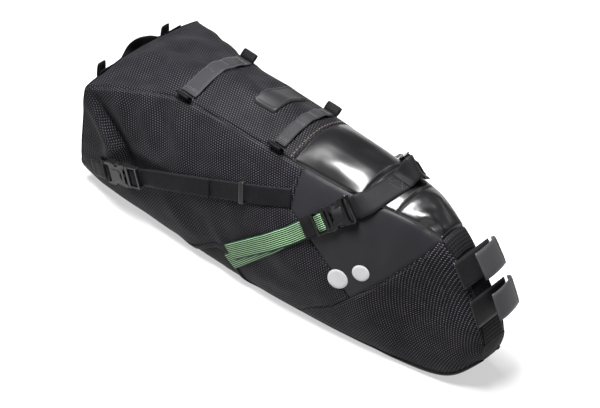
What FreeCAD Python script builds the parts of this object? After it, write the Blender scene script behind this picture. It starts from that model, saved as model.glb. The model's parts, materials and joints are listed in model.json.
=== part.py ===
import FreeCAD, Part
import Sketcher
import math
import os

# Roll-top saddle bag, millimetres.  +X points to the nose (seatpost end), +Y to the bag's
# left side, +Z up.  The origin is under the middle of the bag, on the floor it stands on.

V = FreeCAD.Vector
RIGHT = -1
LEFT = 1
SIDES = ((RIGHT, "right"), (LEFT, "left"))

doc = FreeCAD.newDocument("saddle_bag")

# ---------------------------------------------------------------- driving dimensions

SECTION_FIELDS = ("station", "seam_half", "seam_height", "crown_height",
                  "belly_half", "belly_height", "base_half", "base_height", "keel_height")

# One row for each cross-section of the stuffed bag, from the tail to the toe of the nose:
# place along the bag, half width and height of the top seam, height of the crown, half
# width and height of the belly, half width and height of the bottom seam.
SECTIONS = {
    "tail": (-243, 90, 136, 148, 89, 92, 76, 16, 11),
    "collar": (-211, 76, 148, 162, 90, 84, 74, 9, 3),
    "shoulder": (-129, 49, 164, 180, 88, 74, 71, 6, 0),
    "middle": (-21, 44, 168, 182, 83, 72, 68, 5, 0),
    "waist": (69, 39, 170, 184, 74, 72, 58, 5, 0),
    "belt": (139, 28, 174, 183, 58, 70, 47, 5, 0),
    "neck": (183, 17, 164, 168, 43, 56, 38, 5, 0),
    "brow": (203, 15, 150, 152, 37, 56, 33, 6, 2),
    "face": (229, 16, 120, 121, 30, 58, 26, 14, 9),
    "chin": (247, 17, 92, 93, 23, 56, 17, 33, 29),
    "toe": (256, 17, 66, 67, 18, 57, 13, 48, 46),
}

SIZES = {
    "wall": 1.6,
    "skin_gap": 0.5,
    "body_run": 15,
    "nose_run": 7,
    "upper_power": 1.35,
    "lower_power": 2.3,
    "gloss_start": 5,
    "belt_start": 91,
    "belt_end": 132,
    "gloss_end": 183,
    "nose_top_end": 203,
    "flat_share": 0.25,
    "floor_press": 0.3,
    "tail_thickness": 2,
    "toe_thickness": 2,
    "stiffener_gauge": 1.2,
    "stiffener_start": -65,
    "stiffener_end": 180,
    "binding_gauge": 2,
    "binding_width": 5,
    "binding_lift": 1.2,
    "web_gauge": 1.6,
    "rail_web": 25,
    "narrow_web": 20,
    "green_web": 20,
    "daisy_web": 18,
    "daisy_rear": -139,
    "daisy_front": -17,
    "badge_length": 31,
    "badge_width": 52,
    "badge_gauge": 2,
    "badge_station": -61.5,
    "badge_offset": 12,
    "loop_height": 12,
    "loop_depth": 5,
    "buckle_width": 28,
    "buckle_gauge": 8,
    "socket_length": 30,
    "socket_start": 8,
    "bar_depth": 3,
    "bar_gauge": 4,
    "rail_opening": 25.6,
    "web_opening": 21.6,
    "ladder_width": 25,
    "ladder_start": 33,
    "ladder_end": 47,
    "ladder_bar": 2.4,
    "arm_tip": 12.5,
    "arm_root": 29.9,
    "arm_inner": 5.8,
    "arm_gauge": 2.6,
    "hook_reach": 13.2,
    "keeper_length": 6,
    "keeper_wall": 1.2,
    "roll_height": 25,
    "roll_thickness": 15.5,
    "roll_middle": 42,
    "post_web": 30,
    "post_gauge": 1.8,
}


def build_sheet():
    """Puts every driving dimension in a spreadsheet, one aliased cell each."""
    cells = doc.addObject("Spreadsheet::Sheet", "sizes")
    entries = dict(SIZES)
    for name, row in SECTIONS.items():
        for field, value in zip(SECTION_FIELDS, row):
            entries[name + "_" + field] = value
    for number, (alias, value) in enumerate(entries.items(), start=1):
        cells.set("A%d" % number, alias)
        cells.set("B%d" % number, str(value))
        cells.setAlias("B%d" % number, alias)
    doc.recompute()
    return cells


sheet = build_sheet()


def size(alias):
    return float(sheet.get(alias))


# ---------------------------------------------------------------- outer form of the bag

ROWS = [[size(name + "_" + field) for field in SECTION_FIELDS] for name in SECTIONS]
STATIONS = [row[0] for row in ROWS]


def slopes(values):
    """Slopes of a smooth curve that never overshoots its driving values."""
    steps = [(values[i + 1] - values[i]) / (STATIONS[i + 1] - STATIONS[i])
             for i in range(len(values) - 1)]
    result = [steps[0]]
    for before, after in zip(steps, steps[1:]):
        same_way = before * after > 0
        result.append(2 * before * after / (before + after) if same_way else 0.0)
    result.append(steps[-1])
    return result


COLUMNS = [[row[k] for row in ROWS] for k in range(1, len(SECTION_FIELDS))]
COLUMN_SLOPES = [slopes(column) for column in COLUMNS]


def section(x):
    """The section dimensions at any place x along the bag."""
    i = max(k for k in range(len(STATIONS) - 1) if STATIONS[k] <= max(x, STATIONS[0]))
    span = STATIONS[i + 1] - STATIONS[i]
    f = (x - STATIONS[i]) / span
    start, start_slope = 2 * f**3 - 3 * f**2 + 1, f**3 - 2 * f**2 + f
    end, end_slope = 3 * f**2 - 2 * f**3, f**3 - f**2
    return [start * c[i] + start_slope * span * d[i] + end * c[i + 1] + end_slope * span * d[i + 1]
            for c, d in zip(COLUMNS, COLUMN_SLOPES)]


def outline(x, turn):
    """Half outline in Y and Z.  turn: 0 crown, 1 top seam, 2 belly, 3 bottom seam, 4 keel."""
    seam_half, seam_high, crown, belly_half, belly_high, base_half, base_high, keel = section(x)
    if turn <= 1:
        return turn * seam_half, crown - (crown - seam_high) * turn**2
    if turn <= 2:
        power = 2 / size("upper_power")
        angle = (turn - 1) * math.pi / 2
        return (seam_half + (belly_half - seam_half) * math.sin(angle)**power,
                belly_high + (seam_high - belly_high) * math.cos(angle)**power)
    if turn <= 3:
        power = 2 / size("lower_power")
        angle = (turn - 2) * math.pi / 2
        return (base_half + (belly_half - base_half) * max(math.cos(angle), 0.0)**power,
                belly_high - (belly_high - base_high) * math.sin(angle)**power)
    flat = size("flat_share")
    rise = max(0.0, (4 - turn - flat) / (1 - flat))**3
    low = keel - size("floor_press")
    return (4 - turn) * base_half, low + (base_high - low) * rise


def skin_point(x, turn, depth=0.0):
    """A point of the skin.  turn is negative on the right; depth goes inward from the skin."""
    side = RIGHT if turn < 0 else LEFT
    turn = abs(turn)
    step = 0.12 if turn in (1, 3) else 0.02
    y0, z0 = outline(x, max(turn - step, 0))
    y1, z1 = outline(x, min(turn + step, 4))
    if turn < step:
        y0 = -y1
    if turn > 4 - step:
        y1 = -y0
    length = math.hypot(y1 - y0, z1 - z0)
    y, z = outline(x, turn)
    return V(x, side * (y - depth * (z0 - z1) / length), z - depth * (y1 - y0) / length)


def skin_turn(x, height):
    """The turn at which the side of the bag has the given height."""
    low, high = 1.0, 3.0
    for _ in range(30):
        middle = (low + high) / 2
        if outline(x, middle)[1] > height:
            low = middle
        else:
            high = middle
    return low


def skin_normal(x, turn):
    """Outward direction of the skin."""
    reach = 1.0
    along = skin_point(min(x + reach, STATIONS[-1]), turn) - skin_point(x - reach, turn)
    around = skin_point(x, turn + 0.05) - skin_point(x, turn - 0.05)
    normal = around.cross(along)
    normal.normalize()
    away = skin_point(x, turn) - V(x, 0, 90)
    return normal if normal.dot(away) > 0 else normal * -1


def spread(first, last, longest):
    """Evenly spaced values from first to last, no further apart than longest."""
    count = max(1, math.ceil(abs(last - first) / longest - 1e-6))
    return [first + (last - first) * k / count for k in range(count + 1)]


def loft(wires):
    return Part.makeLoft([Part.makePolygon(points + points[:1]) for points in wires], True, True)


def shared_stations():
    """Places along the bag where every sewn panel has a cross-section, so that seams meet."""
    seams = [size(alias) for alias in ("gloss_start", "belt_start", "belt_end", "gloss_end",
                                       "nose_top_end")]
    stops = [STATIONS[0]] + seams + [STATIONS[-1]]
    stations = []
    for start, end in zip(stops, stops[1:]):
        longest = size("nose_run") if start >= size("gloss_end") else size("body_run")
        stations += spread(start, end, longest)[:-1]
    return stations + [STATIONS[-1]]


GRID = shared_stations()


def stations_between(start, end):
    tiny = 0.01
    return [start] + [x for x in GRID if start + tiny < x < end - tiny] + [end]


def patch(x_from, x_to, turn_from, turn_to, outside, inside, arc=0.25):
    """A sheet that follows the skin, between two depths."""
    turns = spread(turn_from, turn_to, arc)
    wires = []
    for x in stations_between(x_from, x_to):
        outer = [skin_point(x, turn, outside) for turn in turns]
        inner = [skin_point(x, turn, inside) for turn in reversed(turns)]
        wires.append(outer + inner)
    return loft(wires)


def ribbon(points, normals, width, gauge, lift):
    """Webbing along points: width across, gauge thick, lift above the points."""
    wires = []
    for k, (point, normal) in enumerate(zip(points, normals)):
        ahead = points[min(k + 1, len(points) - 1)] - points[max(k - 1, 0)]
        across = ahead.cross(normal)
        across.normalize()
        up = across.cross(ahead)
        up.normalize()
        half = across * (width / 2)
        low = point + up * lift
        top = low + up * gauge
        wires.append([low - half, low + half, top + half, top - half])
    return loft(wires)


def prism(corners, depth):
    """A block with the given outline in X and Z, from -depth to +depth in Y."""
    points = [V(x, -depth, z) for x, z in corners]
    face = Part.Face(Part.makePolygon(points + points[:1]))
    return face.extrude(V(0, 2 * depth, 0))


SUB_PARTS = []


def add_shape(label, shape, placement=None):
    """A soft sub-part, whose shape follows the skin."""
    part = doc.addObject("Part::Feature", label)
    part.Label = label
    part.Shape = shape
    if placement is not None:
        part.Placement = placement
    SUB_PARTS.append(part)
    return part


def add_feature(kind, label, **values):
    """A primitive or boolean.  Text values are expressions on the sheet."""
    feature = doc.addObject(kind, label)
    feature.Label = label
    for name, value in values.items():
        if isinstance(value, str):
            feature.setExpression(name, value)
        else:
            setattr(feature, name, value)
    return feature


def box(label, u_from, v_from, w_from, length, width, height):
    """A box whose corner and sizes are expressions on the sheet."""
    feature = add_feature("Part::Box", label, Length=length, Width=width, Height=height)
    for axis, value in zip("xyz", (u_from, v_from, w_from)):
        feature.setExpression("Placement.Base." + axis, value)
    return feature


def fuse(label, *shapes):
    return add_feature("Part::MultiFuse", label, Shapes=list(shapes))


def cut(label, base, *tools):
    for number, tool in enumerate(tools, start=1):
        name = label if number == len(tools) else "%s_cut_%d" % (label, number)
        base = add_feature("Part::Cut", name, Base=base, Tool=tool)
    return base


def finish_part(feature, placement):
    feature.Placement = placement
    SUB_PARTS.append(feature)
    return feature


# ---------------------------------------------------------------- sewn shell

WALL = size("wall")
TAIL, TOE = STATIONS[0], STATIONS[-1]


def side_shell(side):
    """The whole side of the bag, between its top and bottom seams."""
    return patch(TAIL, TOE, side * 1, side * 3, 0, WALL, arc=0.2)


def build_top_panels():
    spans = (("top_panel", TAIL, size("gloss_start")),
             ("rear_gloss_panel", size("gloss_start"), size("belt_start")),
             ("rail_belt", size("belt_start"), size("belt_end")),
             ("front_gloss_panel", size("belt_end"), size("gloss_end")),
             ("nose_top_panel", size("gloss_end"), size("nose_top_end")))
    for label, start, end in spans:
        add_shape(label, patch(start, end, -1, 1, 0, WALL))
    strip = patch(size("nose_top_end"), TOE, -1, 1, 0, WALL)
    strip = strip.fuse(end_cap(TOE, size("toe_thickness"))).removeSplitter()
    for side, _ in SIDES:
        seam_room = V(0.06, -0.15 * side, 0.12)
        strip = strip.cut(side_shell(side)).cut(side_shell(side).translated(seam_room))
    add_shape("nose_front_strip", strip)


def end_cap(x, thickness):
    """A flat plate that closes one end of the bag, thickness outward of the section at x."""
    turns = spread(-4, 4, 0.25)[:-1]
    ring = [skin_point(x, turn) for turn in turns]
    face = Part.Face(Part.makePolygon(ring + ring[:1]))
    return face.extrude(V(thickness, 0, 0))


def build_bottom_and_tail():
    right = patch(TAIL, TOE, -4, -3, 0, WALL)
    left = patch(TAIL, TOE, 3, 4, 0, WALL)
    floor = Part.makeBox(800, 300, 50, V(-400, -150, -50))
    add_shape("bottom_panel", right.fuse(left).removeSplitter().cut(floor))
    add_shape("tail_panel", end_cap(TAIL, -size("tail_thickness")))


# Outline of the matt diagonal side panel in X and Z: down its rear edge from the top seam,
# round the low corner, and up its front edge to the top seam.
MATT_TOP_REAR = (20, 190)
MATT_REAR_EDGE = ((20, 168), (24, 148), (26, 129), (39, 123), (90, 91), (117, 67))
MATT_FRONT_EDGE = ((143, 100), (171, 142), (183, 164))
MATT_TOP_FRONT = (183, 190)
# The seam between the rear and nose side panels, from the low corner down to the floor.
LOWER_SEAM = ((100, 47), (74, 27), (40, -10))
BEHIND_THE_BAG = -300
BELOW_THE_BAG = -10
BAG_HALF_DEPTH = 120


def build_side_panels():
    rear_corners = ((BEHIND_THE_BAG, 190), MATT_TOP_REAR) + MATT_REAR_EDGE
    rear_corners += LOWER_SEAM + ((BEHIND_THE_BAG, BELOW_THE_BAG),)
    matt_corners = (MATT_TOP_REAR,) + MATT_REAR_EDGE + MATT_FRONT_EDGE + (MATT_TOP_FRONT,)
    rear_block = prism(rear_corners, BAG_HALF_DEPTH)
    matt_block = prism(matt_corners, BAG_HALF_DEPTH)
    for side, name in SIDES:
        whole = side_shell(side)
        add_shape("rear_side_panel_" + name, whole.common(rear_block))
        add_shape("matt_side_panel_" + name, whole.common(matt_block))
        add_shape("nose_side_panel_" + name, whole.cut(rear_block).cut(matt_block))


def build_stiffeners():
    outside = WALL + size("skin_gap")
    inside = outside + size("stiffener_gauge")
    start, end = size("stiffener_start"), size("stiffener_end")
    margin = 0.25
    halves = [patch(start, end, -4, -3 - margin, outside, inside),
              patch(start, end, 3 + margin, 4, outside, inside)]
    add_shape("base_stiffener", halves[0].fuse(halves[1]).removeSplitter())
    reach = 0.6
    add_shape("nose_stiffener",
              patch(size("nose_top_end") + 4, TOE - 16, -reach, reach, outside + 1, inside + 1,
                    arc=0.2))


def build_bindings():
    """Bound seam allowance along both bottom seams."""
    tapes = []
    for side, _ in SIDES:
        points, normals = [], []
        for x in stations_between(TAIL + 2, TOE - 10):
            on_seam = skin_point(x, side * 3)
            out = skin_point(x, side * 3, -1) - on_seam
            points.append(on_seam)
            normals.append(out)
        tapes.append(ribbon(points, normals, size("binding_width"), size("binding_gauge"),
                            size("binding_lift")))
    add_shape("bottom_bindings", Part.makeCompound(tapes))


def build_daisy_strips():
    gap = size("skin_gap")
    for label, middle in (("rear_daisy_strip", size("daisy_rear")),
                          ("front_daisy_strip", size("daisy_front"))):
        half = size("daisy_web") / 2
        add_shape(label, patch(middle - half, middle + half, -0.93, 0.93,
                               -gap - size("web_gauge"), -gap, arc=0.15))


# ---------------------------------------------------------------- frames on the skin

class Frame:
    """A local frame on the skin: u along a strap, v across it, w away from the bag."""

    def __init__(self, origin, u, w):
        self.origin = origin
        self.u = V(u)
        self.u.normalize()
        self.v = V(w).cross(self.u)
        self.v.normalize()
        self.w = self.u.cross(self.v)

    def at(self, u, v=0.0, w=0.0):
        return self.origin + self.u * u + self.v * v + self.w * w

    def placement(self):
        return FreeCAD.Placement(self.origin, FreeCAD.Rotation(self.u, self.v, self.w, "XZY"))


def side_point(side, x, z):
    """Point and outward direction of the side of the bag at x and height z."""
    turn = side * skin_turn(x, z)
    return skin_point(x, turn), skin_normal(x, turn)


def frame_on_side(side, start, end, lift):
    """A frame from start towards end, both places (x, z) on the side of the bag."""
    first = side_point(side, *start)[0]
    last = side_point(side, *end)[0]
    middle = ((start[0] + end[0]) / 2, (start[1] + end[1]) / 2)
    point, normal = side_point(side, *middle)
    along = last - first
    across = normal.cross(along)
    up = along.cross(across)
    up.normalize()
    origin = point - along / 2 + up * lift
    return Frame(origin, along, up)


# ---------------------------------------------------------------- side-release buckles

def build_socket(label, placement, opening):
    """Socket half: a flat box open at its mouth, side windows for the hooks, and a strap bar."""
    body = box(label + "_body", "sizes.socket_start", "-sizes.buckle_width / 2",
               "-sizes.buckle_gauge / 2", "sizes.socket_length - sizes.socket_start",
               "sizes.buckle_width", "sizes.buckle_gauge")
    bore = box(label + "_bore", "sizes.socket_start + 2", "-sizes.buckle_width / 2 + 2.5",
               "-sizes.arm_gauge", "sizes.socket_length", "sizes.buckle_width - 5",
               "sizes.arm_gauge * 2")
    tools = [bore]
    for side, name in SIDES:
        start = "sizes.buckle_width / 2 - 3" if side == LEFT else "-sizes.buckle_width / 2 - 1"
        tools.append(box(label + "_window_" + name, "sizes.arm_tip - 0.5", start,
                         "-sizes.buckle_gauge", "10", "4", "sizes.buckle_gauge * 2"))
    shell = cut(label + "_shell", body, *tools)
    pieces = [shell]
    rail = "2.6"
    for side, name in SIDES:
        inner = "sizes." + opening + " / 2"
        start = inner if side == LEFT else "-" + inner + " - " + rail
        pieces.append(box(label + "_rail_" + name, "0", start, "-sizes.bar_gauge / 2",
                          "sizes.socket_start + 1", rail, "sizes.bar_gauge"))
    pieces.append(box(label + "_bar", "0", "-sizes." + opening + " / 2 - " + rail,
                      "-sizes.bar_gauge / 2", "sizes.bar_depth",
                      "sizes." + opening + " + 2 * " + rail, "sizes.bar_gauge"))
    finish_part(fuse(label, *pieces), placement)


def build_ladder(label, placement):
    """Ladder half: shoulder, centre guide, and two bars that the webbing is laced round."""
    half = "sizes.ladder_width / 2"
    pieces = [
        box(label + "_shoulder", "sizes.arm_root + 0.4", "-sizes.buckle_width / 2 + 0.5",
            "-sizes.buckle_gauge / 2 + 0.3", "sizes.ladder_start - sizes.arm_root - 0.4",
            "sizes.buckle_width - 1", "sizes.buckle_gauge - 0.6"),
        box(label + "_guide", "sizes.arm_tip + 2", "-1.5", "-1.8",
            "sizes.arm_root - sizes.arm_tip", "3", "3.6"),
        box(label + "_inner_bar", "sizes.ladder_start + 3.5", "-" + half, "-1.7",
            "sizes.ladder_bar", "sizes.ladder_width", "sizes.ladder_bar"),
        box(label + "_end_bar", "sizes.ladder_end - sizes.ladder_bar", "-" + half, "0.9",
            "sizes.ladder_bar", "sizes.ladder_width", "sizes.ladder_bar"),
    ]
    for side, name in SIDES:
        start = "sizes.web_opening / 2" if side == LEFT else "-" + half
        pieces.append(box(label + "_rail_" + name, "sizes.ladder_start - 0.5", start, "-2",
                          "sizes.ladder_end - sizes.ladder_start + 0.5",
                          "(sizes.ladder_width - sizes.web_opening) / 2", "5.3"))
    finish_part(fuse(label, *pieces), placement)


def build_arm(label, placement, side):
    """One spring arm: a bar rooted at the shoulder, with a hook that shows in the window."""
    bar_start = "sizes.arm_inner" if side == LEFT else "-sizes.arm_inner - sizes.arm_gauge"
    hook_start = ("sizes.arm_inner + sizes.arm_gauge - 0.5" if side == LEFT
                  else "-sizes.hook_reach")
    bar = box(label + "_bar", "sizes.arm_tip", bar_start, "-1.9",
              "sizes.arm_root - sizes.arm_tip", "sizes.arm_gauge", "3.8")
    hook = box(label + "_hook", "sizes.arm_tip + 1.5", hook_start, "-1.9", "6.5",
               "sizes.hook_reach - sizes.arm_inner - sizes.arm_gauge + 0.5", "3.8")
    finish_part(fuse(label, bar, hook), placement)


def build_buckle(prefix, frame, opening):
    placement = frame.placement()
    build_socket(prefix + "_socket", placement, opening)
    build_ladder(prefix + "_ladder", placement)
    upper = LEFT if frame.v.z > 0 else RIGHT
    build_arm(prefix + "_arm_upper", placement, upper)
    build_arm(prefix + "_arm_lower", placement, -upper)


# ---------------------------------------------------------------- webbing

SOCKET_BAR = (1.5, 0.0)
LADDER_BAR = (37.7, -0.5)


def round_bar(frame, bar, radius, far_side):
    """Mid-line of webbing round a buckle bar, from above it to below it."""
    points, normals = [], []
    for degrees in (90, 60, 30, 0, -30, -60, -90):
        angle = math.radians(degrees)
        u, w = far_side * math.cos(angle), math.sin(angle)
        points.append(frame.at(bar[0] + u * radius, 0, bar[1] + w * radius))
        normals.append(frame.u * u + frame.w * w)
    return points, normals


def along_side(side, places, lift):
    """Mid-line of webbing over the side of the bag, at places (x, z), at a height above it."""
    points, normals = [], []
    for x, z in places:
        point, normal = side_point(side, x, z)
        points.append(point + normal * lift)
        normals.append(normal)
    return points, normals


def between(start, end, count):
    return [tuple(a + (b - a) * k / count for a, b in zip(start, end)) for k in range(count + 1)]


def web(label, points, normals, width):
    gauge = size("web_gauge")
    add_shape(label, ribbon(points, normals, width, gauge, -gauge / 2))


GREEN_ANCHOR = (-28, 28)
MAIN_LADDER_END = (58, 127)
MAIN_SOCKET_END = (91, 162)
SIDE_SOCKET_END = (-195, 53)
SIDE_LADDER_END = (-148, 72)
SIDE_STRAP_END = (23, 139)
MAIN_LIFT = 6.5
SIDE_LIFT = 5.2
WEB_LIFT = 1.5
SIDE_STRAP_LIFT = 3.3
TURN_RADIUS = 2.9


def build_green_strap(side, name, frame):
    """Lower layer from the bottom seam, round the ladder bar, and a short way back on top."""
    lower, lower_normals = along_side(side, between(GREEN_ANCHOR, (44, 112), 6), WEB_LIFT)
    turn, turn_normals = round_bar(frame, LADDER_BAR, TURN_RADIUS, -1)
    below_end = size("ladder_end")
    low_layer = [frame.at(below_end + 8, 0, -4.2), frame.at(below_end, 0, -3.4)]
    top_layer = [frame.at(below_end, 0, -1.2), frame.at(below_end + 8, 0, -2.1),
                 frame.at(below_end + 14, 0, -2.6)]
    points = top_layer[::-1] + turn + low_layer[::-1] + lower[::-1]
    normals = [frame.w] * 3 + turn_normals + [frame.w * -1] * 2
    normals += [normal * -1 for normal in lower_normals[::-1]]
    web("green_strap_" + name, points, normals, size("green_web"))
    return frame.at(below_end + 14.6, 0, -2.6)


def build_green_tail(side, name, root):
    """Free end of the green strap, lying on the lower layer."""
    places = between((38, 105), (-22, 36), 6)
    points, normals = along_side(side, places, WEB_LIFT + size("web_gauge") + 0.5)
    web("green_tail_" + name, [root] + points, [normals[0]] + normals, size("green_web"))


# Where each rail strap lies on the belt, as station and turn.  The right one is sewn down over
# the crown; the left one comes up to the seam, where the arch begins.
RAIL_STRAP_OVER = {
    "right": ((98, 1.12), (102, 0.95), (106, 0.7), (109, 0.4), (111, 0.1), (112, -0.2)),
    "left": ((98, 1.12), (100.5, 1.02), (103, 0.92)),
}


def build_rail_strap(side, name, frame):
    """From the socket bar up over the edge of the top panel, sewn down on the belt."""
    turn, turn_normals = round_bar(frame, SOCKET_BAR, TURN_RADIUS + 0.6, 1)
    low_layer = [frame.at(-6, 0, -2.6)]
    over_points, over_normals = [], []
    for x, turn_value in RAIL_STRAP_OVER[name]:
        normal = skin_normal(x, side * turn_value)
        over_points.append(skin_point(x, side * turn_value) + normal * WEB_LIFT)
        over_normals.append(normal)
    points = turn + low_layer + over_points
    normals = turn_normals + [frame.w * -1] + [normal * -1 for normal in over_normals]
    web("rail_strap_" + name, points, normals, size("rail_web"))


def build_rail_arch():
    """Raised webbing arch that joins the two rail straps, over the left half of the belt."""
    middle, centre = 112.0, 13.0
    base = section(middle)[2] + WEB_LIFT + size("web_gauge") + 0.6
    half, height = 8.0, 15.0
    points, normals = [V(middle, -2, base)], [V(0, 0, 1)]
    for degrees in range(180, -1, -20):
        angle = math.radians(degrees)
        fall = 1.9 * (1 + math.cos(angle))
        points.append(V(middle, centre + half * math.cos(angle),
                        base - fall + height * math.sin(angle)))
        normals.append(V(0, math.cos(angle) * height, math.sin(angle) * half + 1.0))
    for x, turn in ((111.5, 0.8), (110, 0.95)):
        normal = skin_normal(x, turn)
        points.append(skin_point(x, turn) + normal * (WEB_LIFT + size("web_gauge") + 1.5))
        normals.append(normal)
    web("rail_arch", points, normals, size("rail_web"))


def build_side_strap(side, name, frame):
    """From the ladder bar of the side buckle forward to the matt panel's rear seam."""
    turn, turn_normals = round_bar(frame, LADDER_BAR, TURN_RADIUS, -1)
    below_end = size("ladder_end")
    low_layer = [frame.at(below_end, 0, -3.2), frame.at(below_end + 7, 0, -3.2)]
    strap, strap_normals = along_side(side, between((-130, 80), SIDE_STRAP_END, 10),
                                      SIDE_STRAP_LIFT)
    points = turn + low_layer + strap
    normals = turn_normals + [frame.w * -1] * 2 + [normal * -1 for normal in strap_normals]
    web("side_strap_" + name, points, normals, size("narrow_web"))


def build_tail_loop(side, name, frame):
    """From the end of the rolled closure round the rear corner to the side buckle's bar."""
    turn, turn_normals = round_bar(frame, SOCKET_BAR, TURN_RADIUS + 0.6, 1)
    tail = TAIL
    y = size("tail_belly_half") + 2.6
    outward = V(0, side, 0)
    rear = V(-1, 0, 0)
    corner = V(-0.7, side * 0.7, 0)
    route = [(V(tail + 26, side * y, 43), outward), (V(tail + 8, side * y, 38), outward),
             (V(tail - 2, side * (y - 1), 36), corner), (V(tail - 5.2, side * (y - 8), 36), rear)]
    points = turn + [point for point, _ in route]
    normals = turn_normals + [normal * -1 for _, normal in route]
    web("tail_loop_" + name, points, normals, size("narrow_web"))


# ---------------------------------------------------------------- sketched bodies

def origin_plane(body, role):
    return next(item for item in body.Origin.OriginFeatures if item.Role == role)


def add_rectangle(sketch, name, width, height):
    """A rectangle centred on the sketch origin, its width and height bound to the sheet."""
    corners = [V(-1, -1, 0), V(1, -1, 0), V(1, 1, 0), V(-1, 1, 0)]
    first = sketch.GeometryCount
    for start, end in zip(corners, corners[1:] + corners[:1]):
        sketch.addGeometry(Part.LineSegment(start, end), False)
    for k in range(4):
        sketch.addConstraint(Sketcher.Constraint("Coincident", first + k, 2, first + (k + 1) % 4, 1))
    for k in range(2):
        sketch.addConstraint(Sketcher.Constraint("Horizontal", first + 2 * k))
        sketch.addConstraint(Sketcher.Constraint("Vertical", first + 2 * k + 1))
    sketch.addConstraint(Sketcher.Constraint("Symmetric", first, 1, first + 2, 1, -1, 1))
    for axis, edge, value in (("DistanceX", first, width), ("DistanceY", first + 1, height)):
        index = sketch.addConstraint(Sketcher.Constraint(axis, edge, 1, edge, 2, 2.0))
        label = name + "_" + axis
        sketch.renameConstraint(index, label)
        sketch.setExpression("Constraints." + label, value)


def new_sketch(body, role):
    sketch = body.newObject("Sketcher::SketchObject", body.Name + "_sketch")
    sketch.AttachmentSupport = [(origin_plane(body, role), "")]
    sketch.MapMode = "FlatFace"
    return sketch


def add_pad(body, sketch, length):
    pad = body.newObject("PartDesign::Pad", body.Name + "_pad")
    pad.Profile = sketch
    pad.Midplane = True
    pad.setExpression("Length", length)
    return pad


def build_ring(label, frame, across, through, wall, length):
    """A rectangular ring round a strap: its bore is across by through, its length along u."""
    body = doc.addObject("PartDesign::Body", label)
    body.Label = label
    sketch = new_sketch(body, "YZ_Plane")
    add_rectangle(sketch, "outer", across + " + 2 * " + wall, through + " + 2 * " + wall)
    add_rectangle(sketch, "bore", across, through)
    add_pad(body, sketch, length)
    body.Placement = frame.placement()
    return body


def build_keepers():
    """Elastic keeper by each main buckle, sliding keeper on each side strap."""
    for side, name in SIDES:
        main = main_frame(side)
        centre = Frame(main.at(size("ladder_end") + 7, 0, -3.05), main.u, main.w)
        SUB_PARTS.append(build_ring("elastic_keeper_" + name, centre, "sizes.green_web + 1",
                                    "sizes.web_gauge * 2 + 2.6", "1.2", "10"))
        SUB_PARTS.append(build_ring("strap_keeper_" + name, keeper_frame(side),
                                    "sizes.narrow_web + 1.2", "sizes.web_gauge + 1",
                                    "sizes.keeper_wall", "sizes.keeper_length"))


def build_loop_tabs():
    """Four webbing loops that stand on the top seams at the ends of the daisy strips."""
    tabs = []
    for place, x in (("rear", size("daisy_rear")), ("front", size("daisy_front"))):
        for side, name in SIDES:
            turn = side * 0.93
            normal = V(0, side * 0.62, 0.78)
            lift = size("loop_height") / 2 + size("skin_gap") + size("web_gauge") + 1.2
            origin = skin_point(x, turn) + normal * lift
            label = "loop_tab_%s_%s" % (place, name)
            frame = Frame(origin, V(1, 0, 0), normal)
            tabs.append(build_ring(label, frame, "sizes.loop_depth - 2 * 1.4",
                                   "sizes.loop_height - 2 * 1.4", "1.4", "sizes.daisy_web"))
    group = doc.addObject("Part::Compound", "loop_tabs")
    group.Label = "loop_tabs"
    group.Links = tabs
    SUB_PARTS.append(group)


def build_badge():
    """Blank rubber badge on the top panel, behind the front daisy strip."""
    x, y = size("badge_station"), size("badge_offset")
    turn = y / section(x)[0]
    gap = size("skin_gap")
    half = size("badge_width") / 2 / section(x)[0]
    start, end = x - size("badge_length") / 2, x + size("badge_length") / 2
    add_shape("badge", patch(start, end, turn - half, turn + half, -gap - size("badge_gauge"),
                             -gap, arc=0.12))


REFLECTIVE_PATCH = ((100, 84, 11), (121, 102, 9))


def build_reflective_patches():
    """Two plain round reflective patches on each matt side panel."""
    discs = []
    for side, _ in SIDES:
        for x, z, radius in REFLECTIVE_PATCH:
            point, normal = side_point(side, x, z)
            centre = point + normal * 0.6
            discs.append(Part.makeCylinder(radius, 0.5, centre, normal))
    add_shape("reflective_patches", Part.makeCompound(discs))


# ---------------------------------------------------------------- rolled tail closure

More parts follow.
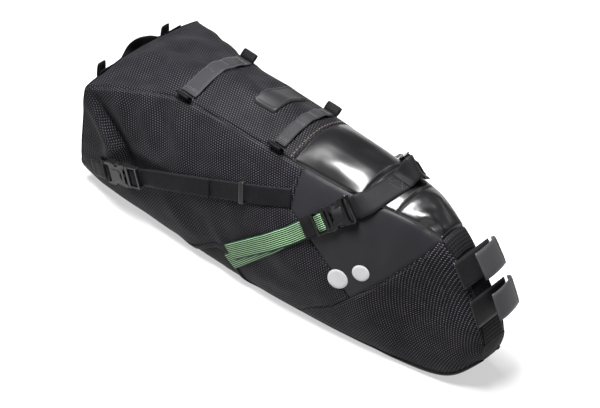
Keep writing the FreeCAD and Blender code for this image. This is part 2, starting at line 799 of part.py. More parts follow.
def build_roll():
    """The folded end of the tube: a bowed bar across the tail, with a sleeve for its stiffener."""
    body = doc.addObject("PartDesign::Body", "closure_roll")
    body.Label = "closure_roll"
    sketch = new_sketch(body, "XY_Plane")
    half, bow = 82.0, size("roll_thickness")
    radius = (half**2 + bow**2) / (2 * bow)
    swing = math.asin(half / radius)
    arc = Part.ArcOfCircle(Part.Circle(V(radius - bow, 0, 0), V(0, 0, 1), radius),
                           math.pi - swing, math.pi + swing)
    sketch.addGeometry(arc, False)
    sketch.addGeometry(Part.LineSegment(V(0, -half, 0), V(0, half, 0)), False)
    sketch.addConstraint(Sketcher.Constraint("Coincident", 0, 2, 1, 1))
    sketch.addConstraint(Sketcher.Constraint("Coincident", 0, 1, 1, 2))
    sketch.addConstraint(Sketcher.Constraint("Vertical", 1))
    sketch.addConstraint(Sketcher.Constraint("Symmetric", 1, 1, 1, 2, -1, 1))
    bow_rule = ("(82^2 + sizes.roll_thickness^2) / (2 * sizes.roll_thickness)")
    index = sketch.addConstraint(Sketcher.Constraint("Radius", 0, radius))
    sketch.renameConstraint(index, "bow")
    sketch.setExpression("Constraints.bow", bow_rule)
    index = sketch.addConstraint(Sketcher.Constraint("DistanceY", 1, 1, 1, 2, 2 * half))
    add_pad(body, sketch, "sizes.roll_height")
    sleeve = box("closure_sleeve", "-6", "-50", "-sizes.roll_height", "2.4", "100",
                 "sizes.roll_height * 1.35")
    place = V(TAIL - size("tail_thickness") - 0.4, 0, size("roll_middle"))
    body.Placement = FreeCAD.Placement()
    roll = cut("closure_roll_sewn", body, sleeve)
    roll.Label = "rolled_closure"
    finish_part(roll, FreeCAD.Placement(place, FreeCAD.Rotation()))
    strip = box("stiffener_blank", "-5.8", "-49", "-sizes.roll_height / 2 + 0.5", "2", "98",
                "sizes.roll_height * 0.8")
    holder = add_feature("Part::Compound", "roll_stiffener", Links=[strip])
    finish_part(holder, FreeCAD.Placement(place, FreeCAD.Rotation()))


def build_light_webbing():
    """Webbing across the rear face for a light, standing off in the middle, and its loops."""
    gauge = size("web_gauge")
    x = TAIL - size("tail_thickness") - 0.4 - gauge / 2
    points = []
    for y, out, z in ((-62, 0, 131), (-32, 0, 132), (-21, 4, 134), (-9, 8, 137), (3, 8, 138),
                      (14, 4, 137), (25, 0, 133), (62, 0, 131)):
        points.append(V(x - out, y, z))
    web("light_webbing", points, [V(-1, 0, 0)] * len(points), size("narrow_web"))
    tabs = []
    for y in (-57, 42):
        low = V(x - gauge - 0.2, y, 128)
        tabs.append(Part.makeBox(gauge * 2, 10, 21, low - V(gauge * 2, 5, 0)))
    add_shape("light_loops", Part.makeCompound(tabs))


# ---------------------------------------------------------------- seatpost straps

POST_STRAPS = (("upper", 213.5), ("lower", 239.5))


def post_frame(x):
    """Frame on the nose front strip: u down the strip, v across to the left, w outward."""
    centre = skin_point(x, 0)
    slope = skin_point(x + 6, 0) - skin_point(x - 6, 0)
    normal = V(-slope.z, 0, slope.x)
    return Frame(centre, slope, normal)


def build_post_straps():
    """Each strap: a base sewn across the strip, and a flap that folds back over the post."""
    bases = []
    for name, x in POST_STRAPS:
        frame = post_frame(x)
        gauge, width = size("post_gauge"), size("post_web")
        fold = 33.0
        points, normals = [], []
        for y, out in ((-15, 0), (0, 0), (15, 0), (fold - 2.5, 0)):
            points.append(frame.at(0, y, out + 1.6))
            normals.append(frame.w)
        bases.append(ribbon(points, normals, width, gauge, -gauge / 2))
        points, normals = [], []
        for degrees in (-80, -40, 0, 40, 80):
            angle = math.radians(degrees)
            points.append(frame.at(0, fold - 2.2 + 3.0 * math.cos(angle),
                                   6.8 + 2.4 * math.sin(angle)))
            normals.append(frame.v * math.cos(angle) + frame.w * math.sin(angle))
        for y, out in ((22, 10.8), (10, 13.0), (-8, 15.4)):
            points.append(frame.at(0, y, out))
            normals.append(frame.w)
        add_shape("post_strap_flap_" + name, ribbon(points, normals, width, gauge, -gauge / 2))
    add_shape("post_strap_bases", Part.makeCompound(bases))


# ---------------------------------------------------------------- assembly

def main_frame(side):
    """Main buckle, from its socket bar by the top panel down to its ladder."""
    return frame_on_side(side, MAIN_SOCKET_END, MAIN_LADDER_END, MAIN_LIFT)


def side_frame(side):
    """Side buckle, from its socket bar at the tail forward to its ladder."""
    return frame_on_side(side, SIDE_SOCKET_END, SIDE_LADDER_END, SIDE_LIFT)


def keeper_frame(side):
    """Sliding keeper near the middle of the side strap."""
    share = 0.66
    x = -130 + (SIDE_STRAP_END[0] + 130) * share
    z = 80 + (SIDE_STRAP_END[1] - 80) * share
    point, normal = side_point(side, x, z)
    along = side_point(side, x + 8, z + 8 * (SIDE_STRAP_END[1] - 80) / (SIDE_STRAP_END[0] + 130))[0]
    along = along - point
    across = normal.cross(along)
    up = along.cross(across)
    up.normalize()
    return Frame(point + up * SIDE_STRAP_LIFT, along, up)


def build_all():
    build_top_panels()
    build_bottom_and_tail()
    build_side_panels()
    build_stiffeners()
    build_bindings()
    build_daisy_strips()
    build_loop_tabs()
    build_badge()
    build_reflective_patches()
    build_roll()
    build_light_webbing()
    build_rail_arch()
    build_keepers()
    build_post_straps()
    for side, name in SIDES:
        main, rear = main_frame(side), side_frame(side)
        build_buckle("main_" + name, main, "rail_opening")
        build_buckle("side_" + name, rear, "web_opening")
        root = build_green_strap(side, name, main)
        build_green_tail(side, name, root)
        build_rail_strap(side, name, main)
        build_side_strap(side, name, rear)
        build_tail_loop(side, name, rear)


def check_and_write():
    doc.recompute()
    for item in doc.Objects:
        bad = [state for state in item.State if state in ("Invalid", "Error")]
        if bad:
            raise RuntimeError("%s failed: %s" % (item.Label, bad))
    broken = [part.Label for part in SUB_PARTS
              if part.Shape.isNull() or not part.Shape.isValid() or part.Shape.Volume <= 0]
    if broken:
        raise RuntimeError("bad shapes: " + ", ".join(broken))
    os.makedirs("parts", exist_ok=True)
    for part in SUB_PARTS:
        part.Shape.exportStep("parts/" + part.Label + ".step")


build_all()
check_and_write()
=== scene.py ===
import json
import math

import bpy
import numpy as np
from mathutils import Matrix, Vector
from mathutils.bvhtree import BVHTree


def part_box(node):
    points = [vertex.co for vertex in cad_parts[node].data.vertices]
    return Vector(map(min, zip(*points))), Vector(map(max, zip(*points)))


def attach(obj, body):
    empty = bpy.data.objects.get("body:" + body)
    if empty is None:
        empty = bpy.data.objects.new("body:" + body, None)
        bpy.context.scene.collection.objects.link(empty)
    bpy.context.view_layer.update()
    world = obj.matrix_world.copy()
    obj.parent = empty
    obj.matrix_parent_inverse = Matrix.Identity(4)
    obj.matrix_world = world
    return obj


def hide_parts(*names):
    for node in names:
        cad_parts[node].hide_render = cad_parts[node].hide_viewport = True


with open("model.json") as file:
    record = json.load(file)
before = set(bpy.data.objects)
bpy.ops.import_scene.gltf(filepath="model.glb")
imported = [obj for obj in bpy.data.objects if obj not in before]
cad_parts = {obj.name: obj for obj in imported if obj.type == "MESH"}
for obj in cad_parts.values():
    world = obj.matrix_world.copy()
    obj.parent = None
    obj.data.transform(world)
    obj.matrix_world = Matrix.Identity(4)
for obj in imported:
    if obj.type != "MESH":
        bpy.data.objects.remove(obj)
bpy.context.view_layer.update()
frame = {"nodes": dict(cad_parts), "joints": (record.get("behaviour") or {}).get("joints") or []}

# The looks of a stuffed roll-top saddle bag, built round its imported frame.  +X points to the
# nose, +Y to the bag's left side and +Z up.  Lengths are metres; MM turns millimetres to metres.

MM = 0.001
RIGHT, LEFT = -1, 1
SIDES = ((RIGHT, "right"), (LEFT, "left"))
JOINTS = {joint["name"]: joint for joint in frame["joints"]}


def unit(vectors):
    vectors = np.asarray(vectors, float)
    return vectors / np.maximum(np.linalg.norm(vectors, axis=-1, keepdims=True), 1e-12)


def show(name, data):
    """A new object in the scene."""
    thing = bpy.data.objects.new(name, data)
    bpy.context.scene.collection.objects.link(thing)
    return thing


def new_mesh(name, points, faces, *materials):
    mesh = bpy.data.meshes.new(name)
    mesh.from_pydata([tuple(point) for point in points], [], [tuple(face) for face in faces])
    for material in materials:
        mesh.materials.append(material)
    return mesh


# ---------------------------------------------------------------- camera, light and floor

CAMERA_AZIMUTH = math.radians(35)
CAMERA_ELEVATION = math.radians(41)
CAMERA_ROLL = math.radians(9)
CAMERA_DISTANCE = 2.6
CAMERA_LENS = 147.4
AIM = Vector((-21, 0, 71)) * MM
AIM_RIGHT = 10.6 * MM
AIM_DOWN = 4.2 * MM
LIGHTS = (
    # name, direction from the bag, distance, width, height, watts
    ("key_light", (-0.14, -0.22, 0.94), 1.7, 1.0, 0.62, 124),
    ("front_light", (0.75, -0.75, 0.45), 2.4, 1.4, 1.0, 6),
    ("tail_light", (-0.9, -0.5, 0.35), 2.2, 0.8, 1.0, 4),
    ("rim_light", (0.35, 0.85, 0.7), 2.4, 1.4, 0.3, 4),
)
WORLD_STRENGTH = 0.12
FLOOR_REACH = 12
WALL_RADIUS, WALL_HEIGHT, WALL_SIDES = 6.5, 8.0, 72


def make_camera():
    azimuth, elevation = CAMERA_AZIMUTH, CAMERA_ELEVATION
    back = Vector((math.sin(azimuth) * math.cos(elevation),
                   -math.cos(azimuth) * math.cos(elevation), math.sin(elevation)))
    level = Vector((math.cos(azimuth), math.sin(azimuth), 0))
    right = level * math.cos(CAMERA_ROLL) + back.cross(level) * math.sin(CAMERA_ROLL)
    up = back.cross(right)
    camera = show("camera", bpy.data.cameras.new("camera"))
    camera.data.lens = CAMERA_LENS
    camera.data.clip_end = 50
    target = AIM + right * AIM_RIGHT - up * AIM_DOWN
    turned = Matrix((right, up, back)).transposed().to_4x4()
    camera.matrix_world = Matrix.Translation(target + back * CAMERA_DISTANCE) @ turned
    bpy.context.scene.camera = camera


def softbox(name, direction, distance, width, height, power):
    """An area light that faces the middle of the bag."""
    lamp = bpy.data.lights.new(name, "AREA")
    lamp.shape = "RECTANGLE"
    lamp.size, lamp.size_y = width, height
    lamp.energy = power
    light = show(name, lamp)
    direction = Vector(direction).normalized()
    light.location = AIM + direction * distance
    light.rotation_euler = direction.to_track_quat("Z", "Y").to_euler()


def make_studio():
    scene = bpy.context.scene
    scene.view_settings.view_transform = "Standard"
    for light in LIGHTS:
        softbox(*light)
    scene.world = bpy.data.worlds.new("studio")
    scene.world.use_nodes = True
    background = scene.world.node_tree.nodes["Background"].inputs
    background["Color"].default_value = (1, 1, 1, 1)
    background["Strength"].default_value = WORLD_STRENGTH


def glowing(name, grey, roughness, strength):
    return Paint(name, (grey, grey, grey), roughness, Emission_Color=(1, 1, 1, 1),
                 Emission_Strength=strength)


def make_floor():
    corners = [(FLOOR_REACH * x, FLOOR_REACH * y, 0) for x, y in ((-1, -1), (1, -1), (1, 1), (-1, 1))]
    paint = glowing("floor_paint", 0.3, 0.6, 0.55)
    paint.grain(40, 3, 0.05, 0.3 * MM)
    floor = show("floor", new_mesh("floor", corners, [range(4)], paint.material))


def make_backdrop():
    """A pale wall far round the bag, which the camera sees and which lights nothing."""
    count = WALL_SIDES
    angles = [2 * math.pi * k / count for k in range(count)]
    corners = [(WALL_RADIUS * math.cos(a), WALL_RADIUS * math.sin(a), z)
               for z in (-0.01, WALL_HEIGHT) for a in angles]
    faces = [(k, (k + 1) % count, count + (k + 1) % count, count + k) for k in range(count)]
    paint = glowing("backdrop_paint", 0.02, 0.9, 0.9)
    paint.grain(2, 2, 0.05, 1.0 * MM)
    backdrop = show("backdrop", new_mesh("backdrop", corners, faces, paint.material))
    backdrop.visible_diffuse = backdrop.visible_glossy = backdrop.visible_shadow = False


# ---------------------------------------------------------------- materials

RAIL_WEB = 25 * MM
NARROW_WEB = 20 * MM
WEB_GAUGE = 1.6 * MM
STITCH_LENGTH = 3.2 * MM
STITCH_HALF = 0.45 * MM


class Paint:
    """A node material: methods add nodes and return their output sockets."""

    def __init__(self, name, color, roughness, **inputs):
        self.material = bpy.data.materials.new(name)
        self.material.use_nodes = True
        self.tree = self.material.node_tree
        self.shader = self.tree.nodes["Principled BSDF"]
        self.shader.inputs["Roughness"].default_value = roughness
        self.color = color
        self.tint(0.0, color)
        for label, value in inputs.items():
            self.shader.inputs[label.replace("_", " ")].default_value = value

    def add(self, kind, values=(), **settings):
        node = self.tree.nodes.new(kind)
        for key, value in settings.items():
            setattr(node, key, value)
        for key, value in dict(values).items():
            if isinstance(value, bpy.types.NodeSocket):
                self.tree.links.new(value, node.inputs[key])
            else:
                node.inputs[key].default_value = value
        return node

    def math(self, operation, first, second=0.0, third=0.0):
        values = {0: first, 1: second, 2: third}
        return self.add("ShaderNodeMath", values, operation=operation).outputs[0]

    def times(self, first, second):
        return self.math("MULTIPLY", first, second)

    def less(self, first, second):
        return self.math("SUBTRACT", first, second)

    def scaled(self, value, factor, offset):
        return self.math("MULTIPLY_ADD", value, factor, offset)

    def step(self, value, low, high):
        """0 below low, 1 above high, smooth between."""
        values = {"Value": value, "From Min": low, "From Max": high}
        return self.add("ShaderNodeMapRange", values, interpolation_type="SMOOTHSTEP").outputs[0]

    def cloth_place(self):
        """Place on the flat cloth in metres, as two sockets."""
        place = self.add("ShaderNodeUVMap", uv_map="cloth").outputs[0]
        return self.add("ShaderNodeSeparateXYZ", {0: place}).outputs[:2]

    def attribute(self, name):
        return self.add("ShaderNodeAttribute", attribute_name=name).outputs["Fac"]

    def noise(self, scale, detail=2.0, roughness=0.5):
        place = self.add("ShaderNodeTexCoord").outputs["Object"]
        values = {"Vector": place, "Scale": scale, "Detail": detail, "Roughness": roughness}
        return self.add("ShaderNodeTexNoise", values).outputs[0]

    def wave(self, place, pitch):
        """A sine wave along place, from 0 to 1, once every pitch."""
        return self.scaled(self.math("SINE", self.times(place, 2 * math.pi / pitch)), 0.5, 0.5)

    def bump(self, height, strength, distance):
        values = {"Height": height, "Strength": strength, "Distance": distance}
        if self.shader.inputs["Normal"].is_linked:
            values["Normal"] = self.shader.inputs["Normal"].links[0].from_socket
        node = self.add("ShaderNodeBump", values)
        self.tree.links.new(node.outputs[0], self.shader.inputs["Normal"])

    def tint(self, share, color):
        """Puts color over what is there so far, by share."""
        values = {"Factor": share, 6: self.color, 7: color + (1.0,)}
        if isinstance(self.color, tuple):
            values[6] = self.color + (1.0,)
        self.color = self.add("ShaderNodeMix", values, data_type="RGBA").outputs[2]
        self.tree.links.new(self.color, self.shader.inputs["Base Color"])

    def mottle(self, amount, scale):
        """Uneven, slightly worn colour."""
        patch = self.step(self.noise(scale, 4, 0.6), 0.4, 0.75)
        self.tint(self.times(patch, amount), (0.03, 0.03, 0.0315))

    def weave(self, pitch, strength, distance):
        """Yarns that cross."""
        along, across = (self.wave(place, pitch) for place in self.cloth_place())
        self.bump(self.times(along, across), strength, distance)

    def grain(self, scale, detail, strength, distance):
        """An uneven surface."""
        self.bump(self.noise(scale, detail), strength, distance)

    def stitches(self, color, place):
        """A row of stitches beside a seam, at a distance from it."""
        dash = self.math("FRACT", self.math("DIVIDE", self.attribute("seam_run"), STITCH_LENGTH))
        dash = self.times(self.step(dash, 0.08, 0.2), self.less(1.0, self.step(dash, 0.68, 0.8)))
        off = self.math("ABSOLUTE", self.less(self.attribute("seam_gap"), place))
        row = self.less(1.0, self.step(off, STITCH_HALF * 0.5, STITCH_HALF * 1.3))
        mark = self.times(row, dash)
        self.tint(mark, color)
        self.bump(mark, 0.5, 0.5 * MM)


def dotted_cloth():
    """Charcoal cloth with slanting rows of fine pale dots."""
    paint = Paint("dotted_cloth", (0.0040, 0.0037, 0.0050), 0.5, Specular_IOR_Level=0.045)
    along, across = paint.cloth_place()
    pitch_along, pitch_across, slant = 3.0 * MM, 2.4 * MM, 0.37
    row = paint.math("DIVIDE", across, pitch_across)
    shift = paint.times(paint.math("FLOOR", row), slant)
    column = paint.math("ADD", paint.math("DIVIDE", along, pitch_along), shift)
    squares = []
    for cell, pitch in ((column, pitch_along), (row, pitch_across)):
        off = paint.times(paint.less(paint.math("FRACT", cell), 0.5), pitch)
        squares.append(paint.math("POWER", off, 2.0))
    away = paint.math("SQRT", paint.math("ADD", *squares))
    dot = paint.less(1.0, paint.step(away, 0.2 * MM, 0.68 * MM))
    uneven = paint.step(paint.noise(60), 0.3, 0.7)
    paint.tint(paint.times(dot, paint.scaled(uneven, 0.4, 0.6)), (0.10, 0.098, 0.106))
    paint.weave(1.3 * MM, 0.35, 0.3 * MM)
    paint.stitches((0.022, 0.022, 0.024), 3.0 * MM)
    return paint.material


def gloss_cloth():
    """Black film-coated cloth, shiny, with a faint weave under the film."""
    paint = Paint("gloss_cloth", (0.003, 0.003, 0.0035), 0.34, Coat_Weight=0.3, Coat_Roughness=0.2,
                  Specular_IOR_Level=0.42)
    paint.weave(1.6 * MM, 0.4, 0.14 * MM)
    paint.grain(22, 2, 0.12, 3.0 * MM)
    paint.stitches((0.03, 0.03, 0.032), 3.0 * MM)
    return paint.material


def matt_cloth():
    """Dark grey coated cloth, smooth and matt."""
    paint = Paint("matt_cloth", (0.0118, 0.0115, 0.0135), 0.42, Specular_IOR_Level=0.09)
    paint.mottle(0.10, 30)
    paint.weave(1.0 * MM, 0.12, 0.1 * MM)
    paint.stitches((0.012, 0.012, 0.013), 2.6 * MM)
    return paint.material


def coarse_cloth():
    """Dark plain weave with a grid of thicker yarns."""
    paint = Paint("coarse_cloth", (0.004, 0.0038, 0.0044), 0.55, Specular_IOR_Level=0.05)
    grid = paint.math("MAXIMUM", *(paint.wave(place, 3.0 * MM) for place in paint.cloth_place()))
    paint.tint(paint.times(paint.step(grid, 0.75, 1.0), 0.6), (0.022, 0.022, 0.023))
    paint.bump(grid, 0.5, 0.4 * MM)
    paint.stitches((0.025, 0.025, 0.027), 3.0 * MM)
    return paint.material


def strap_edges(paint, half_width, color):
    """Ribs across webbing and its tight selvedges."""
    along, across = paint.cloth_place()
    rib = paint.wave(along, 1.5 * MM)
    paint.bump(paint.scaled(paint.wave(across, 2.2 * MM), 0.35, rib), 0.55, 0.35 * MM)
    away = paint.math("ABSOLUTE", across)
    edge = paint.step(away, half_width - 1.6 * MM, half_width - 0.8 * MM)
    paint.tint(paint.times(edge, 0.7), color)
    paint.tint(paint.times(rib, 0.3), color)
    return along, across


def webbing(name, half_width, color=(0.0036, 0.0035, 0.0044)):
    paint = Paint(name, color, 0.45, Specular_IOR_Level=0.055)
    strap_edges(paint, half_width, tuple(1.9 * value for value in color))
    paint.mottle(0.08, 45)
    paint.stitches((0.03, 0.029, 0.025), 2.4 * MM)
    return paint.material


def green_webbing(half_width):
    """Dark green webbing with narrow pale mint stripes along it."""
    paint = Paint("green_webbing", (0.002, 0.006, 0.004), 0.55, Specular_IOR_Level=0.1)
    along, across = strap_edges(paint, half_width, (0.006, 0.026, 0.016))
    stripe = paint.step(paint.wave(across, 2.05 * MM), 0.6, 0.84)
    broken = paint.step(paint.wave(along, 1.8 * MM), 0.1, 0.45)
    away = paint.math("ABSOLUTE", across)
    inside = paint.less(1.0, paint.step(away, half_width - 1.2 * MM, half_width - 0.9 * MM))
    share = paint.times(paint.times(stripe, inside), paint.scaled(broken, 0.55, 0.4))
    paint.tint(share, (0.27, 0.45, 0.25))
    return paint.material


def moulded_plastic(name="moulded_plastic", color=(0.004, 0.004, 0.0044), roughness=0.3):
    """Satin black plastic with a fine moulded grain, and painted highlights that lighten its sharp
    edges.
    """
    paint = Paint(name, color, roughness, Specular_IOR_Level=0.32)
    paint.grain(1400, 2, 0.12, 0.06 * MM)
    # painted highlight: sharp convex edges, found by pointiness, are tinted lighter
    edge = paint.add("ShaderNodeNewGeometry").outputs["Pointiness"]
    paint.tint(paint.times(paint.step(edge, 0.52, 0.6), 0.5), (0.03, 0.03, 0.031))
    uneven = paint.scaled(paint.noise(90, 3), 0.18, roughness - 0.08)
    paint.tree.links.new(uneven, paint.shader.inputs["Roughness"])
    return paint.material


def badge_rubber():
    paint = Paint("badge_rubber", (0.014, 0.014, 0.015), 0.45, Specular_IOR_Level=0.2)
    paint.grain(900, 2, 0.15, 0.1 * MM)
    paint.mottle(0.06, 80)
    return paint.material


def reflective_film():
    """Plain grey retroreflective film with a faint cell pattern."""
    paint = Paint("reflective_film", (0.31, 0.31, 0.32), 0.45, Specular_IOR_Level=0.3)
    paint.weave(1.5 * MM, 0.1, 0.1 * MM)
    paint.mottle(0.05, 60)
    return paint.material


def stiffener_sheet():
    paint = Paint("stiffener_sheet", (0.02, 0.02, 0.02), 0.5, Specular_IOR_Level=0.2)
    paint.grain(200, 2, 0.2, 0.2 * MM)
    return paint.material


def felt_strap(name, color):
    """Hook-and-loop strap: smooth coated face with a pale row of stitches at its edge."""
    paint = Paint(name, color, 0.4, Specular_IOR_Level=0.16)
    across = paint.cloth_place()[1]
    paint.bump(paint.wave(across, 1.4 * MM), 0.2, 0.2 * MM)
    paint.grain(500, 2, 0.3, 0.15 * MM)
    paint.mottle(0.08, 50)
    paint.stitches((0.055, 0.055, 0.058), 2.0 * MM)
    return paint.material


def thread_paint(name, color):
    paint = Paint(name, color, 0.55, Sheen_Weight=0.4)
    paint.bump(paint.wave(paint.attribute("seam_run"), 0.5 * MM), 0.2, 0.1 * MM)
    paint.mottle(0.1, 300)
    return paint.material


# Each paint's material and the slot that its pieces fill.
PAINTS = {
    "dotted": (dotted_cloth(), "dotted_cloth"),
    "gloss": (gloss_cloth(), "gloss_cloth"),
    "matt": (matt_cloth(), "matt_cloth"),
    "coarse": (coarse_cloth(), "coarse_cloth"),
    "ribbed": (webbing("ribbed_strip", 40 * MM), "coarse_cloth"),
    "green": (green_webbing(NARROW_WEB / 2), "green_webbing"),
    "rail_web": (webbing("rail_webbing", RAIL_WEB / 2, (0.0085, 0.0083, 0.009)), "webbing"),
    "narrow_web": (webbing("narrow_webbing", NARROW_WEB / 2), "webbing"),
    "daisy_web": (webbing("daisy_webbing", 9 * MM, (0.021, 0.0205, 0.0225)), "webbing"),
    "dark_web": (webbing("dark_webbing", NARROW_WEB / 2, (0.004, 0.004, 0.0044)), "webbing"),
    "plastic": (moulded_plastic(), "buckle_plastic"),
    "keeper": (moulded_plastic("keeper_plastic", (0.006, 0.006, 0.0065), 0.42), "buckle_plastic"),
    "elastic": (webbing("elastic_sleeve", 30 * MM, (0.0045, 0.0045, 0.0048)), "elastic"),
    "badge": (badge_rubber(), "badge_rubber"),
    "film": (reflective_film(), "reflective"),
    "binding": (webbing("binding_tape", 3 * MM, (0.005, 0.005, 0.0055)), "binding"),
    # The post straps' flap and base are one hook-and-loop strap: the flap is painted lighter for the
    # light on its upturned face, and the base darker as painted shade.
    "flap": (felt_strap("flap_face_painted_lit", (0.036, 0.0355, 0.039)), "webbing"),
    "base": (felt_strap("base_strap_painted_shade", (0.008, 0.0078, 0.0085)), "webbing"),
    "ochre_thread": (thread_paint("ochre_thread", (0.17, 0.135, 0.06)), "webbing"),
    "box_thread": (thread_paint("box_thread", (0.006, 0.006, 0.006)), "webbing"),
    "dark_thread": (thread_paint("dark_thread", (0.02, 0.02, 0.022)), "webbing"),
}


# ---------------------------------------------------------------- meshes

def make_piece(name, points, faces, paint, body="bag", node="", uv=None, gap=None, run=0.0):
    """A mesh piece that rides on a body.  uv has one pair for each point; gap and run are each
    point's distance from a sewn seam and its place along that seam."""
    material, slot = PAINTS[paint]
    mesh = new_mesh(name, points, faces, material)
    mesh.polygons.foreach_set("use_smooth", [True] * len(mesh.polygons))
    if uv is not None:
        layer = mesh.uv_layers.new(name="cloth")
        corners = np.empty(len(mesh.loops), int)
        mesh.loops.foreach_get("vertex_index", corners)
        layer.data.foreach_set("uv", np.asarray(uv, np.float32).reshape(-1, 2)[corners].ravel())
    if gap is not None:
        for label, values in (("seam_gap", gap), ("seam_run", run)):
            values = np.broadcast_to(np.ravel(values), len(points)).astype(np.float32)
            mesh.attributes.new(label, "FLOAT", "POINT").data.foreach_set("value", values)
    piece = show(name, mesh)
    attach(piece, body)
    if node:
        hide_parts(node)
    return piece


def grid_faces(rows, columns, closed=False):
    """Quads of a grid of points; closed joins the last column to the first."""
    faces = []
    for row in range(rows - 1):
        for column in range(columns if closed else columns - 1):
            after = (column + 1) % columns
            faces.append((row * columns + column, row * columns + after,
                          (row + 1) * columns + after, (row + 1) * columns + column))
    return faces


# ---------------------------------------------------------------- the skin of the bag

TOP_NODES = ("top_panel", "rear_gloss_panel", "rail_belt", "front_gloss_panel", "nose_top_panel",
             "nose_front_strip")
SIDE_NODES = ("rear_side_panel_right", "matt_side_panel_right", "nose_side_panel_right")
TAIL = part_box("top_panel")[0].x
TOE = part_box("bottom_panel")[1].x
STATION_STEP = 3 * MM
STATIONS = np.arange(TAIL, TOE + STATION_STEP / 2, STATION_STEP)
TURNS_PER_UNIT = 20
TURNS = np.linspace(-4, 4, 8 * TURNS_PER_UNIT + 1)


def cad_triangles(name):
    mesh = frame["nodes"][name].data
    points = np.empty(len(mesh.vertices) * 3)
    mesh.vertices.foreach_get("co", points)
    mesh.calc_loop_triangles()
    corners = np.empty(len(mesh.loop_triangles) * 3, int)
    mesh.loop_triangles.foreach_get("vertices", corners)
    return points.reshape(-1, 3), corners.reshape(-1, 3)


def cad_edges(*names):
    edges = []
    for name in names:
        points, triangles = cad_triangles(name)
        for first, second in ((0, 1), (1, 2), (2, 0)):
            edges.append(np.stack([points[triangles[:, first]], points[triangles[:, second]]], 1))
    return np.concatenate(edges)


def cut_edges(edges, axis, value):
    """Points where edges cross a plane across the axis."""
    start, end = edges[:, 0], edges[:, 1]
    below, above = start[:, axis] - value, end[:, axis] - value
    crossing = below * above < 0
    share = below[crossing] / (below[crossing] - above[crossing])
    return start[crossing] + (end - start)[crossing] * share[:, None]


def shell_tree():
    points, faces, count = [], [], 0
    for name in TOP_NODES + SIDE_NODES + ("bottom_panel",):
        node_points, triangles = cad_triangles(name)
        points += [tuple(point) for point in node_points]
        faces += [tuple(face) for face in (triangles + count).tolist()]
        count += len(node_points)
    return BVHTree.FromPolygons(points, faces)


def measure_half():
    """Outer surface of the right half.  Turn 0 is the crown, 1 the top seam, 3 the bottom seam
    and 4 the keel; between them it runs evenly across the top, round the side and below."""
    tree, edges = shell_tree(), cad_edges(*SIDE_NODES)
    reach, tiny = 0.4, 0.2 * MM
    rows = []
    for station in STATIONS:
        x = min(max(station, TAIL + tiny), TOE - tiny)
        rim = cut_edges(edges, 0, x)
        top, bottom = rim[rim[:, 2].argmax()], rim[rim[:, 2].argmin()]
        middle = (top[2] + bottom[2]) / 2
        top_angle = math.atan2(top[2] - middle, -top[1])
        bottom_angle = math.atan2(bottom[2] - middle, -bottom[1])
        row = []
        for turn in TURNS[4 * TURNS_PER_UNIT:]:
            if abs(turn - 1) < 1e-6 or abs(turn - 3) < 1e-6:
                row.append(top if turn < 2 else bottom)
                continue
            if turn < 1:
                start, ray = Vector((x, turn * top[1], reach)), Vector((0, 0, -1))
            elif turn > 3:
                start, ray = Vector((x, (4 - turn) * bottom[1], -reach)), Vector((0, 0, 1))
            else:
                angle = top_angle + (turn - 1) / 2 * (bottom_angle - top_angle)
                out = Vector((0, -math.cos(angle), math.sin(angle)))
                start, ray = Vector((x, 0, middle)) + out * reach, -out
            hit = tree.ray_cast(start, ray)[0]
            row.append(row[-1] if hit is None else np.array(hit))
        rows.append(row)
    half = np.array(rows, float)
    half[:, :, 0] = STATIONS[:, None]
    return half


def bell(sigma):
    offsets = np.arange(-3 * sigma, 3 * sigma + 1)
    weights = np.exp(-(offsets / sigma)**2 / 2)
    return weights / weights.sum()


def smooth_table(table, axis, sigma, **padding):
    """Blurs a table along one axis by a bell curve of sigma entries."""
    weights = bell(sigma)
    reach = len(weights) // 2
    pads = [(reach, reach) if k == axis else (0, 0) for k in range(table.ndim)]
    padded = np.pad(table, pads, **padding)
    length = table.shape[axis]
    return sum(weight * np.take(padded, range(k, k + length), axis)
               for k, weight in enumerate(weights))


def measure_skin():
    right = measure_half()
    left = right * (1, -1, 1)
    both = np.concatenate([right[:, :0:-1], left], 1)
    both = smooth_table(both, 0, 2, mode="reflect", reflect_type="odd")
    ring = smooth_table(both[:, :-1], 1, 1, mode="wrap")
    ring[:, :, 2] = np.maximum(ring[:, :, 2], 0.2 * MM)
    return np.concatenate([ring, ring[:, :1]], 1)


def skin_normals(table):
    along = np.gradient(table, axis=0)
    padded = np.concatenate([table[:, -2:-1], table, table[:, 1:2]], 1)
    around = padded[:, 2:] - padded[:, :-2]
    return unit(np.cross(along, around))


BASE = measure_skin()
NORMALS = skin_normals(BASE)
if NORMALS[len(STATIONS) // 2, 4 * TURNS_PER_UNIT, 2] < 0:
    NORMALS = -NORMALS
GIRTH = np.concatenate([np.zeros((len(STATIONS), 1)),
                        np.linalg.norm(np.diff(BASE, axis=1), axis=2).cumsum(1)], 1)
GIRTH = GIRTH - GIRTH[:, 4 * TURNS_PER_UNIT:4 * TURNS_PER_UNIT + 1]


def cubic_weights(share):
    return np.stack([(-share**3 + 2 * share**2 - share) / 2,
                     (3 * share**3 - 5 * share**2 + 2) / 2,
                     (-3 * share**3 + 4 * share**2 + share) / 2,
                     (share**3 - share**2) / 2], -1)


